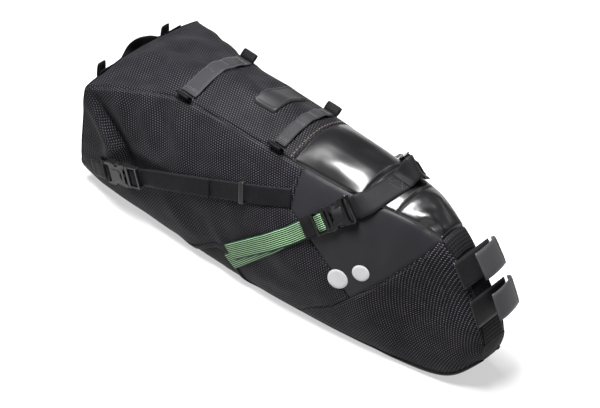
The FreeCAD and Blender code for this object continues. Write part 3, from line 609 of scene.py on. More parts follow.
def look_up(table, x, turn):
    """Smooth value of a skin table at places given by station and turn."""
    x, turn = np.broadcast_arrays(np.asarray(x, float), np.asarray(turn, float))
    row = np.clip((x - TAIL) / STATION_STEP, 0, len(STATIONS) - 1.001)
    column = np.clip((turn + 4) * TURNS_PER_UNIT, 0, len(TURNS) - 1.001)
    first_row, first_column = row.astype(int), column.astype(int)
    row_weights = cubic_weights(row - first_row)
    column_weights = cubic_weights(column - first_column)
    extra = (...,) + (None,) * (table.ndim - 2)
    total = 0
    for i in range(4):
        rows = np.clip(first_row + i - 1, 0, len(STATIONS) - 1)
        for k in range(4):
            columns = np.clip(first_column + k - 1, 0, len(TURNS) - 1)
            weight = row_weights[..., i] * column_weights[..., k]
            total = total + weight[extra] * table[rows, columns]
    return total


def skin_normal(x, turn):
    return unit(look_up(NORMALS, x, turn))


def skin(x, turn, lift=0.0):
    """Points of the skin with its folds, or lifted above it."""
    raised = look_up(RELIEF, x, turn) + lift
    return look_up(BASE, x, turn) + skin_normal(x, turn) * raised[..., None]


def side_turn(x, height):
    """The turn at a height on the side of the bag, without sign."""
    turns = np.linspace(1, 3, 2 * TURNS_PER_UNIT + 1)
    x, height = np.broadcast_arrays(np.asarray(x, float), np.asarray(height, float))
    heights = look_up(BASE, x[..., None], turns)[..., 2]
    found = [np.interp(-h, -row, turns)
             for h, row in zip(height.ravel(), heights.reshape(-1, len(turns)))]
    return np.array(found).reshape(height.shape)


def on_side(side, x, height, lift=0.0):
    """Point and outward direction on the side of the bag."""
    turn = side * side_turn(x, height)
    return skin(x, turn, lift), skin_normal(x, turn)


# ---------------------------------------------------------------- seams between the panels

# Where, how high and how far along a striped strap pulls the bottom seam up.
HEM_HEIGHT = 33 * MM
HEM_PLACE = -39 * MM
HEM_REACH_BACK = 32 * MM
HEM_REACH_FRONT = 21 * MM


def hem_turn(x):
    """Turn of the bottom seam, which the striped strap pulls up beside its anchor."""
    x = np.asarray(x, float)
    reach = np.where(x < HEM_PLACE, HEM_REACH_BACK, HEM_REACH_FRONT)
    rise = HEM_HEIGHT * np.exp(-((x - HEM_PLACE) / reach)**2)
    bottom = look_up(BASE, x, 3.0)[..., 2]
    return np.where(rise > 0.5 * MM, side_turn(x, bottom + rise), 3.0)


HEM_TURNS = hem_turn(STATIONS)


def side_to_turn(x, share):
    """Turn of a place on the side: share 0 is the top seam and 1 the bottom seam."""
    return 1 + share * (np.interp(x, STATIONS, HEM_TURNS) - 1)


def seam_line(name, farthest):
    """Heights, and the station of a side panel's last (or first) edge at each."""
    edges = cad_edges(name)
    low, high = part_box(name)
    heights = np.linspace(low.z + 0.5 * MM, high.z - 0.5 * MM, 60)
    stations = []
    for height in heights:
        cut = cut_edges(edges, 2, height)[:, 0]
        stations.append(cut.max() if farthest else cut.min())
    return heights, np.array(stations)


REAR_SEAM = seam_line("rear_side_panel_right", True)
MATT_REAR = seam_line("matt_side_panel_right", False)
MATT_FRONT = seam_line("matt_side_panel_right", True)
NOSE_SEAM = seam_line("nose_side_panel_right", False)


def follow_seam(line, shares):
    """Stations where a seam crosses the given shares of the side's height."""
    x = np.full(len(shares), np.interp(0.1, *line))
    for _ in range(60):
        height = look_up(BASE, x, side_to_turn(x, shares))[:, 2]
        x = (x + np.interp(height, *line)) / 2
    return x


def eased(count):
    """Even steps from 0 to 1 that are finer at both ends."""
    even = np.linspace(0, 1, count)
    return even / 2 + (1 - np.cos(math.pi * even)) / 4


# ---------------------------------------------------------------- folds in the cloth

def nearest(points, chain):
    """Distance of points to a chain of points, and the place of the nearest one along it, whose
    whole part counts the chain's legs."""
    points, chain = np.asarray(points, float), np.asarray(chain, float)
    best, place = np.full(points.shape[:-1], 1e9), np.zeros(points.shape[:-1])
    for k, (start, leg) in enumerate(zip(chain, np.diff(chain, axis=0))):
        share = np.clip((points - start) @ leg / max(leg @ leg, 1e-18), 0, 1)
        away = np.linalg.norm(points - start - share[..., None] * leg, axis=-1)
        nearer = away < best
        best, place = np.where(nearer, away, best), np.where(nearer, k + share, place)
    return best, place


def run_along(chain):
    """Length along a chain of points, at each of them."""
    return np.append(0, np.linalg.norm(np.diff(chain, axis=0), axis=1).cumsum())


def fold(line, height, width, axis, here):
    """A ridge, or a valley if height is negative, along places (x, z) of a side or (x, y) of the
    top, in millimetres.  axis says which, and here which turns it touches."""
    line = np.array(line) * MM
    away, place = nearest(BASE[:, :, (0, axis)], line)
    ends = np.sin(np.clip(place / (len(line) - 1), 0.02, 0.98) * math.pi)**0.6
    shape = height * MM * np.exp(-(away / (width * MM))**2) * ends
    return np.where(here[None, :], shape, 0)


CREASE = ((-240, 134), (-223, 111), (-208, 96), (-193, 79), (-190, 60))
CREASE_DEPTH = 17 * MM
CREASE_LENGTH = 22 * MM
CREASE_RAMP = 5 * MM
COLLAR_BULGE = 5 * MM
COLLAR_LOW, COLLAR_HIGH = 40 * MM, 136 * MM


def crease_collar():
    """The collar's corner: cloth falls in sharply in front of a slanting crease."""
    stations, heights = np.array(CREASE[::-1]).T * MM
    z = BASE[:, :, 2]
    ahead = BASE[:, :, 0] - np.interp(z, heights, stations)
    drop = np.exp(-np.maximum(ahead, 0) / CREASE_LENGTH)
    ramp = np.clip((ahead + 2 * MM) / CREASE_RAMP, 0, 1)
    reach = np.clip((COLLAR_HIGH - z) / (45 * MM), 0, 1) * np.clip((z - COLLAR_LOW) / (25 * MM), 0, 1)
    bulge = COLLAR_BULGE * np.exp(-((ahead + 9 * MM) / (10 * MM))**2)
    side = (np.abs(TURNS) > 1.0) & (np.abs(TURNS) < 3.0)
    return np.where(side[None, :], reach * (bulge - CREASE_DEPTH * ramp * drop), 0)


# Each fold: its line, height and width in millimetres.
SIDE_FOLDS = (
    (((-205, 142), (-196, 118), (-180, 96)), 3.0, 8),
    (((-192, 146), (-183, 126), (-166, 104)), -2.6, 8),
    (((-176, 150), (-170, 134), (-156, 112)), 2.4, 9),
    (((-158, 156), (-150, 138), (-136, 116)), -3.2, 9),
    (((-140, 158), (-132, 140), (-112, 112)), 2.6, 10),
    (((-118, 158), (-104, 136), (-84, 112)), -2.4, 10),
    (((-92, 160), (-72, 138), (-52, 118)), 1.6, 11),
    (((-186, 84), (-160, 92), (-120, 100)), 2.0, 9),
    (((-120, 60), (-90, 40), (-52, 34)), 2.2, 10),
    (((-60, 72), (-48, 54), (-38, 36)), 2.4, 8),
    (((10, 70), (-10, 52), (-30, 32)), 2.2, 8),
    (((60, 40), (20, 36), (-20, 30)), 1.6, 9),
)
CROWN_FOLDS = (
    (((-232, -30), (-200, -12), (-160, -30)), 2.6, 12),
    (((-236, 22), (-200, 40), (-168, 36)), 2.0, 12),
    (((-226, -66), (-196, -54), (-160, -46)), -2.2, 9),
    (((-222, 0), (-190, 12), (-150, 6)), -1.6, 10),
    (((30, -34), (50, -26), (74, -30)), 1.4, 8),
    (((40, 4), (60, 14), (84, 8)), -1.2, 9),
    (((150, -22), (160, -12), (172, -14)), 1.8, 5),
    (((158, -24), (168, -16), (178, -12)), -1.8, 4),
    (((142, -20), (150, -8), (158, -2)), -1.4, 5),
    (((168, -20), (174, -12), (180, -10)), 1.6, 4),
    (((138, 4), (150, 10), (166, 4)), 1.2, 7),
)


def puff(node, height):
    """A panel of the top that bulges between its seams."""
    start, end = (corner.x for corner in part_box(node))
    place = np.clip((2 * STATIONS - start - end) / (end - start), -1, 1)
    across = np.clip(TURNS, -1, 1)
    return height * ((1 - place**4)[:, None] * (1 - across**4)[None, :])


def fold_cloth():
    """Relief of the folds that are listed."""
    relief = crease_collar() + puff("rear_gloss_panel", 4.0 * MM) + puff("front_gloss_panel", 2.6 * MM)
    for side, _ in SIDES:
        here = (np.sign(TURNS) == side) & (np.abs(TURNS) > 0.8) & (np.abs(TURNS) < 3.0)
        relief = sum((fold(*ridge, 2, here) for ridge in SIDE_FOLDS), relief)
    return sum((fold(*ridge, 1, np.abs(TURNS) < 1.15) for ridge in CROWN_FOLDS), relief)



# ---------------------------------------------------------------- cloth simulation of the shell

SIM_STEP = 2
SIM_FRAMES = 24
SIM_LIMIT = 4.5 * MM
HELD_SEAM = 3.2 * MM
HELD_END = 4 * MM
HELD_STRAP = 9 * MM


def held_places(x, turn, height):
    """True where the shell is held while it swells: seams, strap lines and its underside."""
    turn = np.abs(turn)
    side = (turn > 1) & (turn < 3)
    held = (np.abs(turn - 1) < 0.04) | (turn > 2.95) | (x < TAIL + HELD_END) | (x > TOE - HELD_END)
    for node in ("rear_gloss_panel", "rail_belt"):
        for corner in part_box(node):
            held |= (np.abs(x - corner.x) < HELD_SEAM) & (turn < 1)
    for line in (REAR_SEAM, MATT_FRONT):
        held |= (np.abs(x - np.interp(height, *line)) < HELD_SEAM) & side
    low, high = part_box("side_strap_right")
    strap_line = ((low.x + 60 * MM, low.z + 30 * MM), (high.x, high.z - 10 * MM))
    away = nearest(np.stack([x, height], -1), strap_line)[0]
    return held | ((away < HELD_STRAP) & side)


def make_shell(start, faces, held):
    """The coarse shell as cloth under pressure."""
    shell = show("shell", new_mesh("shell", start, faces))
    group = shell.vertex_groups.new(name="held")
    group.add([int(k) for k in np.nonzero(held)[0]], 1.0, "REPLACE")
    cloth = shell.modifiers.new("swell", "CLOTH")
    settings = cloth.settings
    settings.quality = 6
    settings.mass = 0.2
    settings.tension_stiffness = settings.compression_stiffness = 30
    settings.shear_stiffness = 12
    settings.bending_stiffness = 1.2
    settings.vertex_group_mass = "held"
    settings.use_pressure = True
    settings.uniform_pressure_force = 2.2
    settings.shrink_min = settings.shrink_max = -0.02
    settings.effector_weights.gravity = 0
    cloth.collision_settings.use_collision = False
    return shell


def stuffed(start, faces, held):
    """The shell's points after the cloth has swelled."""
    shell = make_shell(start, faces, held)
    scene = bpy.context.scene
    for number in range(1, SIM_FRAMES + 1):
        scene.frame_set(number)
    swollen = shell.evaluated_get(bpy.context.evaluated_depsgraph_get()).data
    end = np.empty(len(start) * 3)
    swollen.vertices.foreach_get("co", end)
    scene.frame_set(1)
    bpy.data.objects.remove(shell)
    return end.reshape(-1, 3)


def blurred(table, *sigmas):
    for axis, sigma in enumerate(sigmas):
        table = smooth_table(table, axis, sigma, mode="edge")
    return table


def swell_shell(folds):
    """Relief of the shell after it is stuffed: the cloth swells and puckers between seams."""
    rows = np.arange(0, len(STATIONS), SIM_STEP)
    columns = np.arange(0, len(TURNS) - 1, SIM_STEP)
    picked = np.ix_(rows, columns)
    start = (BASE + NORMALS * folds[..., None])[picked].reshape(-1, 3)
    turn = np.broadcast_to(TURNS[columns], (len(rows), len(columns))).ravel()
    held = held_places(start[:, 0], turn, start[:, 2])
    moved = stuffed(start, grid_faces(len(rows), len(columns), closed=True), held) - start
    change = np.einsum("ij,ij->i", moved, NORMALS[picked].reshape(-1, 3))
    change = (SIM_LIMIT * np.tanh(change / SIM_LIMIT)).reshape(len(rows), len(columns))
    change = np.concatenate([change, change[:, :1]], 1)
    fine = np.stack([np.interp(STATIONS, STATIONS[rows], column) for column in change.T], 1)
    relief = np.stack([np.interp(TURNS, np.append(TURNS[columns], 4.0), row) for row in fine])
    relief = blurred(relief, 2, 2)
    start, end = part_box("rear_gloss_panel")[0].x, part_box("front_gloss_panel")[1].x
    filmed = ((STATIONS > start) & (STATIONS < end))[:, None] & (np.abs(TURNS) < 1)[None, :]
    return np.where(filmed, blurred(relief, 3, 5), relief)


RELIEF = fold_cloth()
RELIEF = RELIEF + swell_shell(RELIEF)



# ---------------------------------------------------------------- sewn panels

SEAM_DEPTH = 1.3 * MM
SEAM_REACH = 1.5 * MM


ROW_HEIGHT = 56 * MM
ROW_TURNS = side_turn(STATIONS, ROW_HEIGHT)


def panel(name, node, x, turn, paint, seams="abcd", sewn="abcd"):
    """A cloth panel from grids of stations and turns.  seams names the borders that dip into a
    seam and sewn those with a row of stitches: a first row, b last row, c first and d last column."""
    base = skin(x, turn)
    flat = base.reshape(-1, 3)
    borders = {"a": base[0], "b": base[-1], "c": base[:, 0], "d": base[:, -1]}
    gap, run, dip = np.full(len(flat), 1.0), np.zeros(len(flat)), np.zeros(len(flat))
    for label, border in borders.items():
        if np.linalg.norm(np.ptp(border, axis=0)) < 4 * MM or label not in seams:
            continue
        chain = border[::max(1, len(border) // 60)]
        away, place = nearest(flat, chain)
        dip = np.maximum(dip, SEAM_DEPTH * np.exp(-(away / SEAM_REACH)**2))
        if label in sewn:
            nearer = away < gap
            along = np.interp(place, range(len(chain)), run_along(chain))
            gap[nearer], run[nearer] = away[nearer], along[nearer]
    flat = flat - skin_normal(x, turn).reshape(-1, 3) * dip[:, None]
    along, around = x, look_up(GIRTH, x, turn)
    if np.abs(turn).min() > 0.99:
        steps = np.linalg.norm(np.diff(base, axis=1), axis=2)
        ahead = steps[:, ::-1].cumsum(1)[:, ::-1]
        along = x[:, -1:] - np.pad(ahead, ((0, 0), (0, 1)))
        around = around - look_up(GIRTH, x, np.sign(turn) * np.interp(x, STATIONS, ROW_TURNS))
    piece = make_piece(name, flat, grid_faces(*x.shape), paint, uv=np.stack([along, around], -1),
                       gap=gap, run=run, node=node)


def top_group():
    jobs = (("top_panel", "dotted", 90, "bd"), ("rear_gloss_panel", "gloss", 44, "cd"),
            ("rail_belt", "gloss", 24, "cd"), ("front_gloss_panel", "gloss", 40, "cd"),
            ("nose_top_panel", "coarse", 16, "cd"))
    for node, paint, count, sewn in jobs:
        start, end = (corner.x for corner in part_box(node))
        x, turn = np.meshgrid(start + (end - start) * eased(count), -1 + 2 * eased(56))
        panel(node + "_cloth", node, x, turn, paint, sewn=sewn)
    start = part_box("nose_front_strip")[0].x
    x, turn = np.meshgrid(np.linspace(start, TOE, 50), -1 + 2 * eased(22))
    panel("nose_front_strip_cloth", "nose_front_strip", x, turn, "ribbed", seams="abc", sewn="ab")


def side_group():
    corner_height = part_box("matt_side_panel_right")[0].z
    corner = np.interp(corner_height, *REAR_SEAM)
    matt_end = (float(side_turn(corner, corner_height)) - 1) / 2
    shares, matt_shares = eased(64), eased(44) * matt_end * 0.998
    rear_end, nose_start = follow_seam(REAR_SEAM, shares), follow_seam(NOSE_SEAM, shares)
    matt_ends = follow_seam(MATT_REAR, matt_shares), follow_seam(MATT_FRONT, matt_shares)
    jobs = (("rear", "dotted", shares, np.full(64, TAIL), rear_end, 100, "abcd", "ad"),
            ("nose", "dotted", shares, nose_start, np.full(64, TOE), 64, "abc", "ac"),
            ("matt", "matt", matt_shares, *matt_ends, 56, "abcd", "acd"))
    for side, name in SIDES:
        for part, paint, rows, start, end, count, seams, sewn in jobs:
            x = start[:, None] + (end - start)[:, None] * eased(count)[None, :]
            panel("%s_side_cloth_%s" % (part, name), "%s_side_panel_%s" % (part, name), x,
                  side * side_to_turn(x, rows[:, None]), paint, seams, sewn)


def bottom():
    x = TAIL + (TOE - TAIL) * eased(150)
    share = np.linspace(-1, 1, 50)[:, None]
    turn = 4 - np.abs(share) * (4 - np.interp(x, STATIONS, HEM_TURNS)[None, :])
    turn = turn * np.where(share < 0, -1, 1)
    x = np.broadcast_to(x, turn.shape)
    panel("bottom_cloth", "bottom_panel", x, turn, "coarse", seams="ab", sewn="ab")


RIM_SWELL = 0.4
RIM_PLACE, RIM_HALF = 0.9, 0.06


def end_piece(name, x, bulge, paint, node=""):
    """A cap of cloth over an end of the bag, from its rim to its middle."""
    rim, rows = skin(x, TURNS[:-1]), 14
    middle = np.array((x, 0, rim[:, 2].mean()))
    share = 1 - np.arange(rows)[:, None, None] / rows
    points = middle + (rim - middle) * share
    swell = 1 - share**2 + RIM_SWELL * np.exp(-((share - RIM_PLACE) / RIM_HALF)**2)
    points[..., 0] += bulge * swell[..., 0]
    columns = len(rim)
    flat = np.concatenate([points.reshape(-1, 3), [middle + (bulge, 0, 0)]])
    last = (rows - 1) * columns
    faces = grid_faces(rows, columns, closed=True)
    faces += [(last + k, last + (k + 1) % columns, rows * columns) for k in range(columns)]
    gap = 1.0 + np.linalg.norm((flat - middle)[:, 1:], axis=1)
    make_piece(name, flat, faces, paint, uv=flat[:, 1:], gap=gap, node=node)


# ---------------------------------------------------------------- webbing

STRAP_STEP = 2.2 * MM
STRAP_ACROSS = 9
SELVEDGE_THINNING = 0.75

# A route is a list of (point, outward direction) pairs.


def route(points, normals):
    return list(zip(points, normals))


def flipped(pairs):
    return [(point, -normal) for point, normal in pairs]


def smooth_route(pairs):
    """Points and normals at short steps along a smooth line through a route's points."""
    points, normals = (np.array(part, float) for part in zip(*pairs))
    lengths = np.linalg.norm(np.diff(points, axis=0), axis=1)
    place, outward = [], []
    for k in range(len(points) - 1):
        before, after = points[max(k - 1, 0)], points[min(k + 2, len(points) - 1)]
        first_slope = (points[k + 1] - before) / (lengths[k] + lengths[max(k - 1, 0)]) * lengths[k]
        last_slope = (after - points[k]) / (lengths[k] + lengths[min(k + 1, len(lengths) - 1)])
        last_slope = last_slope * lengths[k]
        if k == 0:
            first_slope = points[1] - points[0]
        if k == len(points) - 2:
            last_slope = points[-1] - points[-2]
        count = max(1, int(lengths[k] / STRAP_STEP))
        for f in np.arange(count) / count:
            place.append(points[k] * (2 * f**3 - 3 * f**2 + 1)
                         + first_slope * (f**3 - 2 * f**2 + f)
                         + points[k + 1] * (3 * f**2 - 2 * f**3)
                         + last_slope * (f**3 - f**2))
            outward.append(normals[k] * (1 - f) + normals[k + 1] * f)
    place, outward = np.array(place + [points[-1]]), unit(outward + [normals[-1]])
    return place, outward, run_along(place)


def strap(name, pairs, paint, width=NARROW_WEB, gauge=WEB_GAUGE, body="bag", node="",
          sewn_ends=False):
    """Webbing along a route, with rounded selvedges."""
    place, outward, run = smooth_route(pairs)
    ahead = unit(np.gradient(place, axis=0))
    across = unit(np.cross(ahead, outward))
    up = np.cross(across, ahead)
    share = np.linspace(-1, 1, STRAP_ACROSS)
    half = gauge / 2 * (1 - SELVEDGE_THINNING * np.abs(share)**6)
    side = np.concatenate([share, share[::-1]]) * width / 2
    high = np.concatenate([half, -half[::-1]])
    ring = (place[:, None] + across[:, None] * side[None, :, None]
            + up[:, None] * high[None, :, None])
    rows, columns = ring.shape[:2]
    faces = grid_faces(rows, columns, closed=True)
    faces += [range(columns - 1, -1, -1), range((rows - 1) * columns, rows * columns)]
    gap = np.minimum(run, run[-1] - run) if sewn_ends else np.full(rows, 1.0)
    make_piece(name, ring.reshape(-1, 3), faces, paint, body=body, node=node,
               uv=np.stack(np.broadcast_arrays(run[:, None], side[None, :]), -1),
               gap=np.repeat(gap, columns), run=np.tile(side + 1.0, rows))


def stitch_rows(name, pairs, thread, length=2.6 * MM, pitch=3.8 * MM, radius=0.32 * MM):
    """Single stitches laid along a route, as one piece."""
    place, outward, run = smooth_route(pairs)
    corners, faces = [], []
    for start in np.arange(pitch / 2, run[-1] - length, pitch):
        ends = []
        for at in (start, start + length / 2, start + length):
            point, normal = (np.array([np.interp(at, run, table[:, k]) for k in range(3)])
                             for table in (place, outward))
            ends.append((point, unit(normal)))
        ahead = unit(ends[2][0] - ends[0][0])
        first = len(corners)
        for (point, normal), thick in zip(ends, (0.35, 1.0, 0.35)):
            side = np.cross(ahead, normal)
            for angle in np.radians(range(0, 360, 60)):
                corners.append(point + radius * thick * (side * math.cos(angle)
                                                         + normal * math.sin(angle)))
        for ring in (first, first + 6):
            for k in range(6):
                a, b = ring + k, ring + (k + 1) % 6
                faces.append((a, b, b + 6, a + 6))
        faces += [range(first + 5, first - 1, -1), range(first + 12, first + 18)]
    make_piece(name, corners, faces, thread)


def side_route(side, places, lift):
    """A route over the side of the bag through places (x, z) in metres."""
    return route(*on_side(side, places[:, 0], places[:, 1], lift))


def straight(start, end, count):
    share = np.linspace(0, 1, count)[:, None]
    return np.array(start) * (1 - share) + np.array(end) * share


# ---------------------------------------------------------------- buckles

# Places in a buckle's frame are millimetres.
BUCKLE_HALF = 14
ARM_ROOT = 29.9
LADDER_END = 47
SOCKET_BAR = 1.5
LADDER_BAR = 37.7
ROUND_OVER = 0.5
SIDE_OPENING = 21.6
MAIN_OPENING = 26.4


class Frame:
    """A local frame: u along a strap, v across it and w away from the bag."""

    def __init__(self, origin, u, w):
        self.origin, self.u = np.array(origin, float), unit(u)
        self.v = unit(np.cross(unit(w), self.u))
        self.w = np.cross(self.u, self.v)

    def at(self, u, v=0.0, w=0.0):
        return self.origin + (self.u * u + self.v * v + self.w * w) * MM


def node_middle(node):
    low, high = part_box(node)
    return np.array((low + high) / 2)


def buckle_frame(prefix):
    """The buckle's frame, from the hinges of its two arms."""
    upper, lower = (JOINTS["%s_%s_arm_squeeze" % (prefix, name)] for name in ("upper", "lower"))
    upper_place, lower_place = np.array(upper["pos_m"]), np.array(lower["pos_m"])
    middle = (upper_place + lower_place) / 2
    outward = np.array(upper["axis"])
    if outward[1] * middle[1] < 0:
        outward = -outward
    along = np.cross(upper_place - lower_place, outward)
    if along @ (node_middle(prefix + "_ladder") - node_middle(prefix + "_socket")) < 0:
        along = -along
    here = Frame(middle, along, outward)
    here.origin = here.at(-ARM_ROOT)
    return here


def mirrored(outline):
    """A closed outline from its half with v above 0, given from one end to the other."""
    return list(outline) + [(u, -v) for u, v in reversed(outline)]


def slab(outline, bottom, top, crown=0.0, inset=0.0):
    """Corners and faces of a plate with an outline in u and v, in millimetres.  crown raises
    the middle of its top and inset draws its top and bottom edges in."""
    outline = np.array(outline, float)
    centre = (outline.min(0) + outline.max(0)) / 2
    points, count = [], len(outline)
    for height, draw in ((bottom, inset), (bottom + inset, 0), (top - inset, 0), (top, inset)):
        away = outline - centre
        reach = np.maximum(np.linalg.norm(away, axis=1, keepdims=True), 0.1)
        ring = centre + away * (1 - draw / reach)
        rise = crown * (1 - np.minimum(1, np.abs(ring[:, 1]) / BUCKLE_HALF)**2) * (height > 0)
        points.append(np.column_stack([ring, height + rise]))
    faces = [range(count - 1, -1, -1), range(3 * count, 4 * count)]
    return np.concatenate(points), grid_faces(4, count, closed=True) + faces


def moulded(name, here, slabs, body="bag", node=""):
    """A moulded plastic piece made of plates, its edges rounded over."""
    points, faces = [], []
    for more_points, more_faces in slabs:
        faces += [[k + len(points) for k in face] for face in more_faces]
        points += [here.at(*point) for point in more_points]
    piece = make_piece(name, points, faces, "plastic", body=body, node=node)
    bevel = piece.modifiers.new("round_over", "BEVEL")
    bevel.width = ROUND_OVER * MM
    bevel.segments = 3
    bevel.limit_method = "ANGLE"
    bevel.angle_limit = math.radians(28)
    bevel.use_clamp_overlap = True
    piece.modifiers.new("shade", "WEIGHTED_NORMAL")


def arc(centre, radius, first, last, count):
    """Points of an arc in u and v, between two angles in degrees."""
    return [(centre[0] + radius * math.cos(angle), centre[1] + radius * math.sin(angle))
            for angle in np.radians(np.linspace(first, last, count))]


def socket_slabs(opening):
    """Flared strap end with its bar, side windows with curved edges, and the mouth."""
    inner = opening / 2
    half = [(6.5, 9.0), (5.0, inner), (0.6, inner + 0.1), (0.0, inner + 1.3),
            (0.8, inner + 2.4), (6.0, 14.2), (9.0, 14.1), (11.5, 13.2)]
    half += arc((17.0, 15.2), 5.2, 205, 318, 8)
    half += [(21.6, 13.0), (24.0, 13.6), (29.0, 13.9), (30.0, 13.2), (30.0, 9.5)]
    half += arc((31.5, 0), 9.6, 98, 180, 6)
    edge = inner + 1
    ridge = mirrored([(9.0, 5.0), (10.0, 6.4), (19.0, 6.4), (22.0, 4.2)])
    step = mirrored([(24.5, 8.6), (25.2, 9.6), (27.2, 9.6), (27.8, 8.8)])
    return [slab(mirrored(half), -4.0, 4.0, crown=0.7, inset=0.5),
            slab([(0, -edge), (0, edge), (3, edge), (3, -edge)], -1.9, 1.9, inset=0.6),
            slab(ridge, 3.6, 5.0, inset=0.4), slab(step, 3.7, 4.9, inset=0.3)]


def ladder_slabs(opening):
    """Shoulder, centre guide, side rails and two bars."""
    shoulder = mirrored([(30.3, 12.9), (31.0, 13.5), (33.4, 13.3), (34.0, 12.6)])
    guide = mirrored([(14.5, 1.0), (15.3, 1.5), (30.6, 1.5)])
    plates = [slab(shoulder, -3.7, 3.7, crown=0.5, inset=0.5), slab(guide, -1.8, 1.8, inset=0.3)]
    for side in (-1, 1):
        low, high = sorted((side * opening / 2, side * 12.6))
        rail = [(33.0, low), (47.0, low), (47.6, (low + high) / 2), (47.0, high), (33.0, high)]
        plates.append(slab(rail, -2.0, 3.3, inset=0.4))
    for start, bottom, top in ((36.5, -1.7, 0.7), (44.6, 0.9, 3.5)):
        bar = [(start, -12), (start, 12), (start + 2.4, 12), (start + 2.4, -12)]
        plates.append(slab(bar, bottom, top, inset=0.5))
    return plates


def arm_slabs(side):
    """A spring arm with its hooked thumb pad in the window."""
    bar = [(14.0, 6.0), (29.8, 5.8), (29.8, 8.4), (14.0, 8.4)]
    pad = [(12.6, 7.0), (12.6, 10.6), (13.6, 12.4), (15.4, 13.15), (18.0, 13.2), (19.8, 12.4),
           (20.6, 10.6), (21.2, 8.2)]
    plates = []
    for outline, half in ((bar, 1.9), (pad, 2.5)):
        turned = [(u, side * v) for u, v in outline[::-side]]
        plates.append(slab(turned, -half, half, inset=0.4))
    return plates


def buckle(prefix, opening):
    here = buckle_frame(prefix)
    moulded(prefix + "_socket_shell", here, socket_slabs(opening), node=prefix + "_socket")
    moulded(prefix + "_ladder_frame", here, ladder_slabs(SIDE_OPENING),
            node=prefix + "_ladder")
    for name in ("upper", "lower"):
        joint = JOINTS["%s_%s_arm_squeeze" % (prefix, name)]
        side = 1 if (np.array(joint["pos_m"]) - here.origin) @ here.v > 0 else -1
        moulded("%s_%s_spring_arm" % (prefix, name), here, arm_slabs(side),
                body="%s_%s_arm" % (prefix, name), node="%s_arm_%s" % (prefix, name))
    return here


def round_bar(here, bar_u, bar_w, radius, far_side):
    """Route of webbing round a buckle's bar, from above it to below it."""
    pairs = []
    for angle in np.radians(np.linspace(90, -90, 9)):
        u, w = far_side * math.cos(angle), math.sin(angle)
        pairs.append((here.at(bar_u + u * radius, 0, bar_w + w * radius), here.u * u + here.w * w))
    return pairs


def rounded_outline(half_v, half_w, radius):
    points = []
    for v, w, start in ((1, 1, 0), (-1, 1, 90), (-1, -1, 180), (1, -1, 270)):
        points += arc((v * (half_v - radius), w * (half_w - radius)), radius, start, start + 90, 5)
    return np.array(points)


def ring_piece(name, here, paint, across, through, wall, length, corner, **facts):
    """A rounded rectangular ring round a strap, in millimetres."""
    outer = rounded_outline(across / 2 + wall, through / 2 + wall, corner + wall * 0.8)
    inner = rounded_outline(across / 2, through / 2, corner)
    shares = np.linspace(-1, 1, 9)
    rows = [(share * length / 2, outer * (1 - 0.35 * wall * abs(share)**8 / (across / 2)))
            for share in shares]
    rows += [(share * length / 2, inner) for share in shares[::-1]]
    points = [here.at(u, v, w) for u, ring in rows for v, w in ring]
    columns = len(outer)
    last = (len(rows) - 1) * columns
    faces = grid_faces(len(rows), columns, closed=True)
    for k in range(columns):
        after = (k + 1) % columns
        faces.append((last + k, last + after, after, k))
    perimeter = np.linalg.norm(np.diff(outer, axis=0, append=outer[:1]), axis=1).cumsum()
    uv = [(along * MM, u * MM) for u, _ in rows for along in perimeter]
    make_piece(name, points, faces, paint, uv=uv, gap=1.0, **facts)


# ---------------------------------------------------------------- straps in place

GREEN_ANCHOR = np.array((-28, 28)) * MM
GREEN_MIDDLE = np.array((44, 112)) * MM
GREEN_TAIL_START = np.array((38, 105)) * MM
GREEN_TAIL_END = np.array((-29, 42)) * MM
GREEN_LIFT = 1.3 * MM


def green_straps(side, name, main):
    """Lower layer from the bottom seam round the ladder bar and back, and the free tail."""
    lower = side_route(side, straight(GREEN_ANCHOR, GREEN_MIDDLE, 7), GREEN_LIFT)
    top = [(main.at(LADDER_END + u, 0, w), main.w) for u, w in ((14, -2.6), (8, -2.1), (0, -1.2))]
    low = [(main.at(LADDER_END + u, 0, w), -main.w) for u, w in ((0, -3.4), (8, -4.2))]
    pairs = top + round_bar(main, LADDER_BAR, -0.5, 2.9, -1) + low + flipped(lower[::-1])
    strap("green_strap_web_" + name, pairs, "green", node="green_strap_" + name)
    hinge = np.array(JOINTS["green_tail_%s_lift" % name]["pos_m"])
    tail = side_route(side, straight(GREEN_TAIL_START, GREEN_TAIL_END, 7),
                      GREEN_LIFT + WEB_GAUGE + 0.5 * MM)
    strap("green_tail_web_" + name, [(hinge, tail[0][1])] + tail, "green",
          body="green_tail_" + name, node="green_tail_" + name)


# Stations, turns and lifts of the rail straps above the top seam, and the corners of the box of
# stitches on the right one.
RAIL_STRAP_OVER = {
    "right": ((102, 0.98, 2.6), (106, 0.72, 1.9), (109, 0.42, 1.6), (111, 0.12, 1.6),
              (112, -0.24, 1.6)),
    "left": ((98, 1.12, 2.0), (100.5, 1.02, 2.0), (103, 0.92, 1.6)),
}
BOX_CORNERS = ((103.0, -0.3), (122.5, -0.3), (121.0, 0.33), (101.5, 0.33))
BOX_LEGS = ((0, 1), (1, 2), (2, 3), (3, 0), (0, 2), (1, 3))


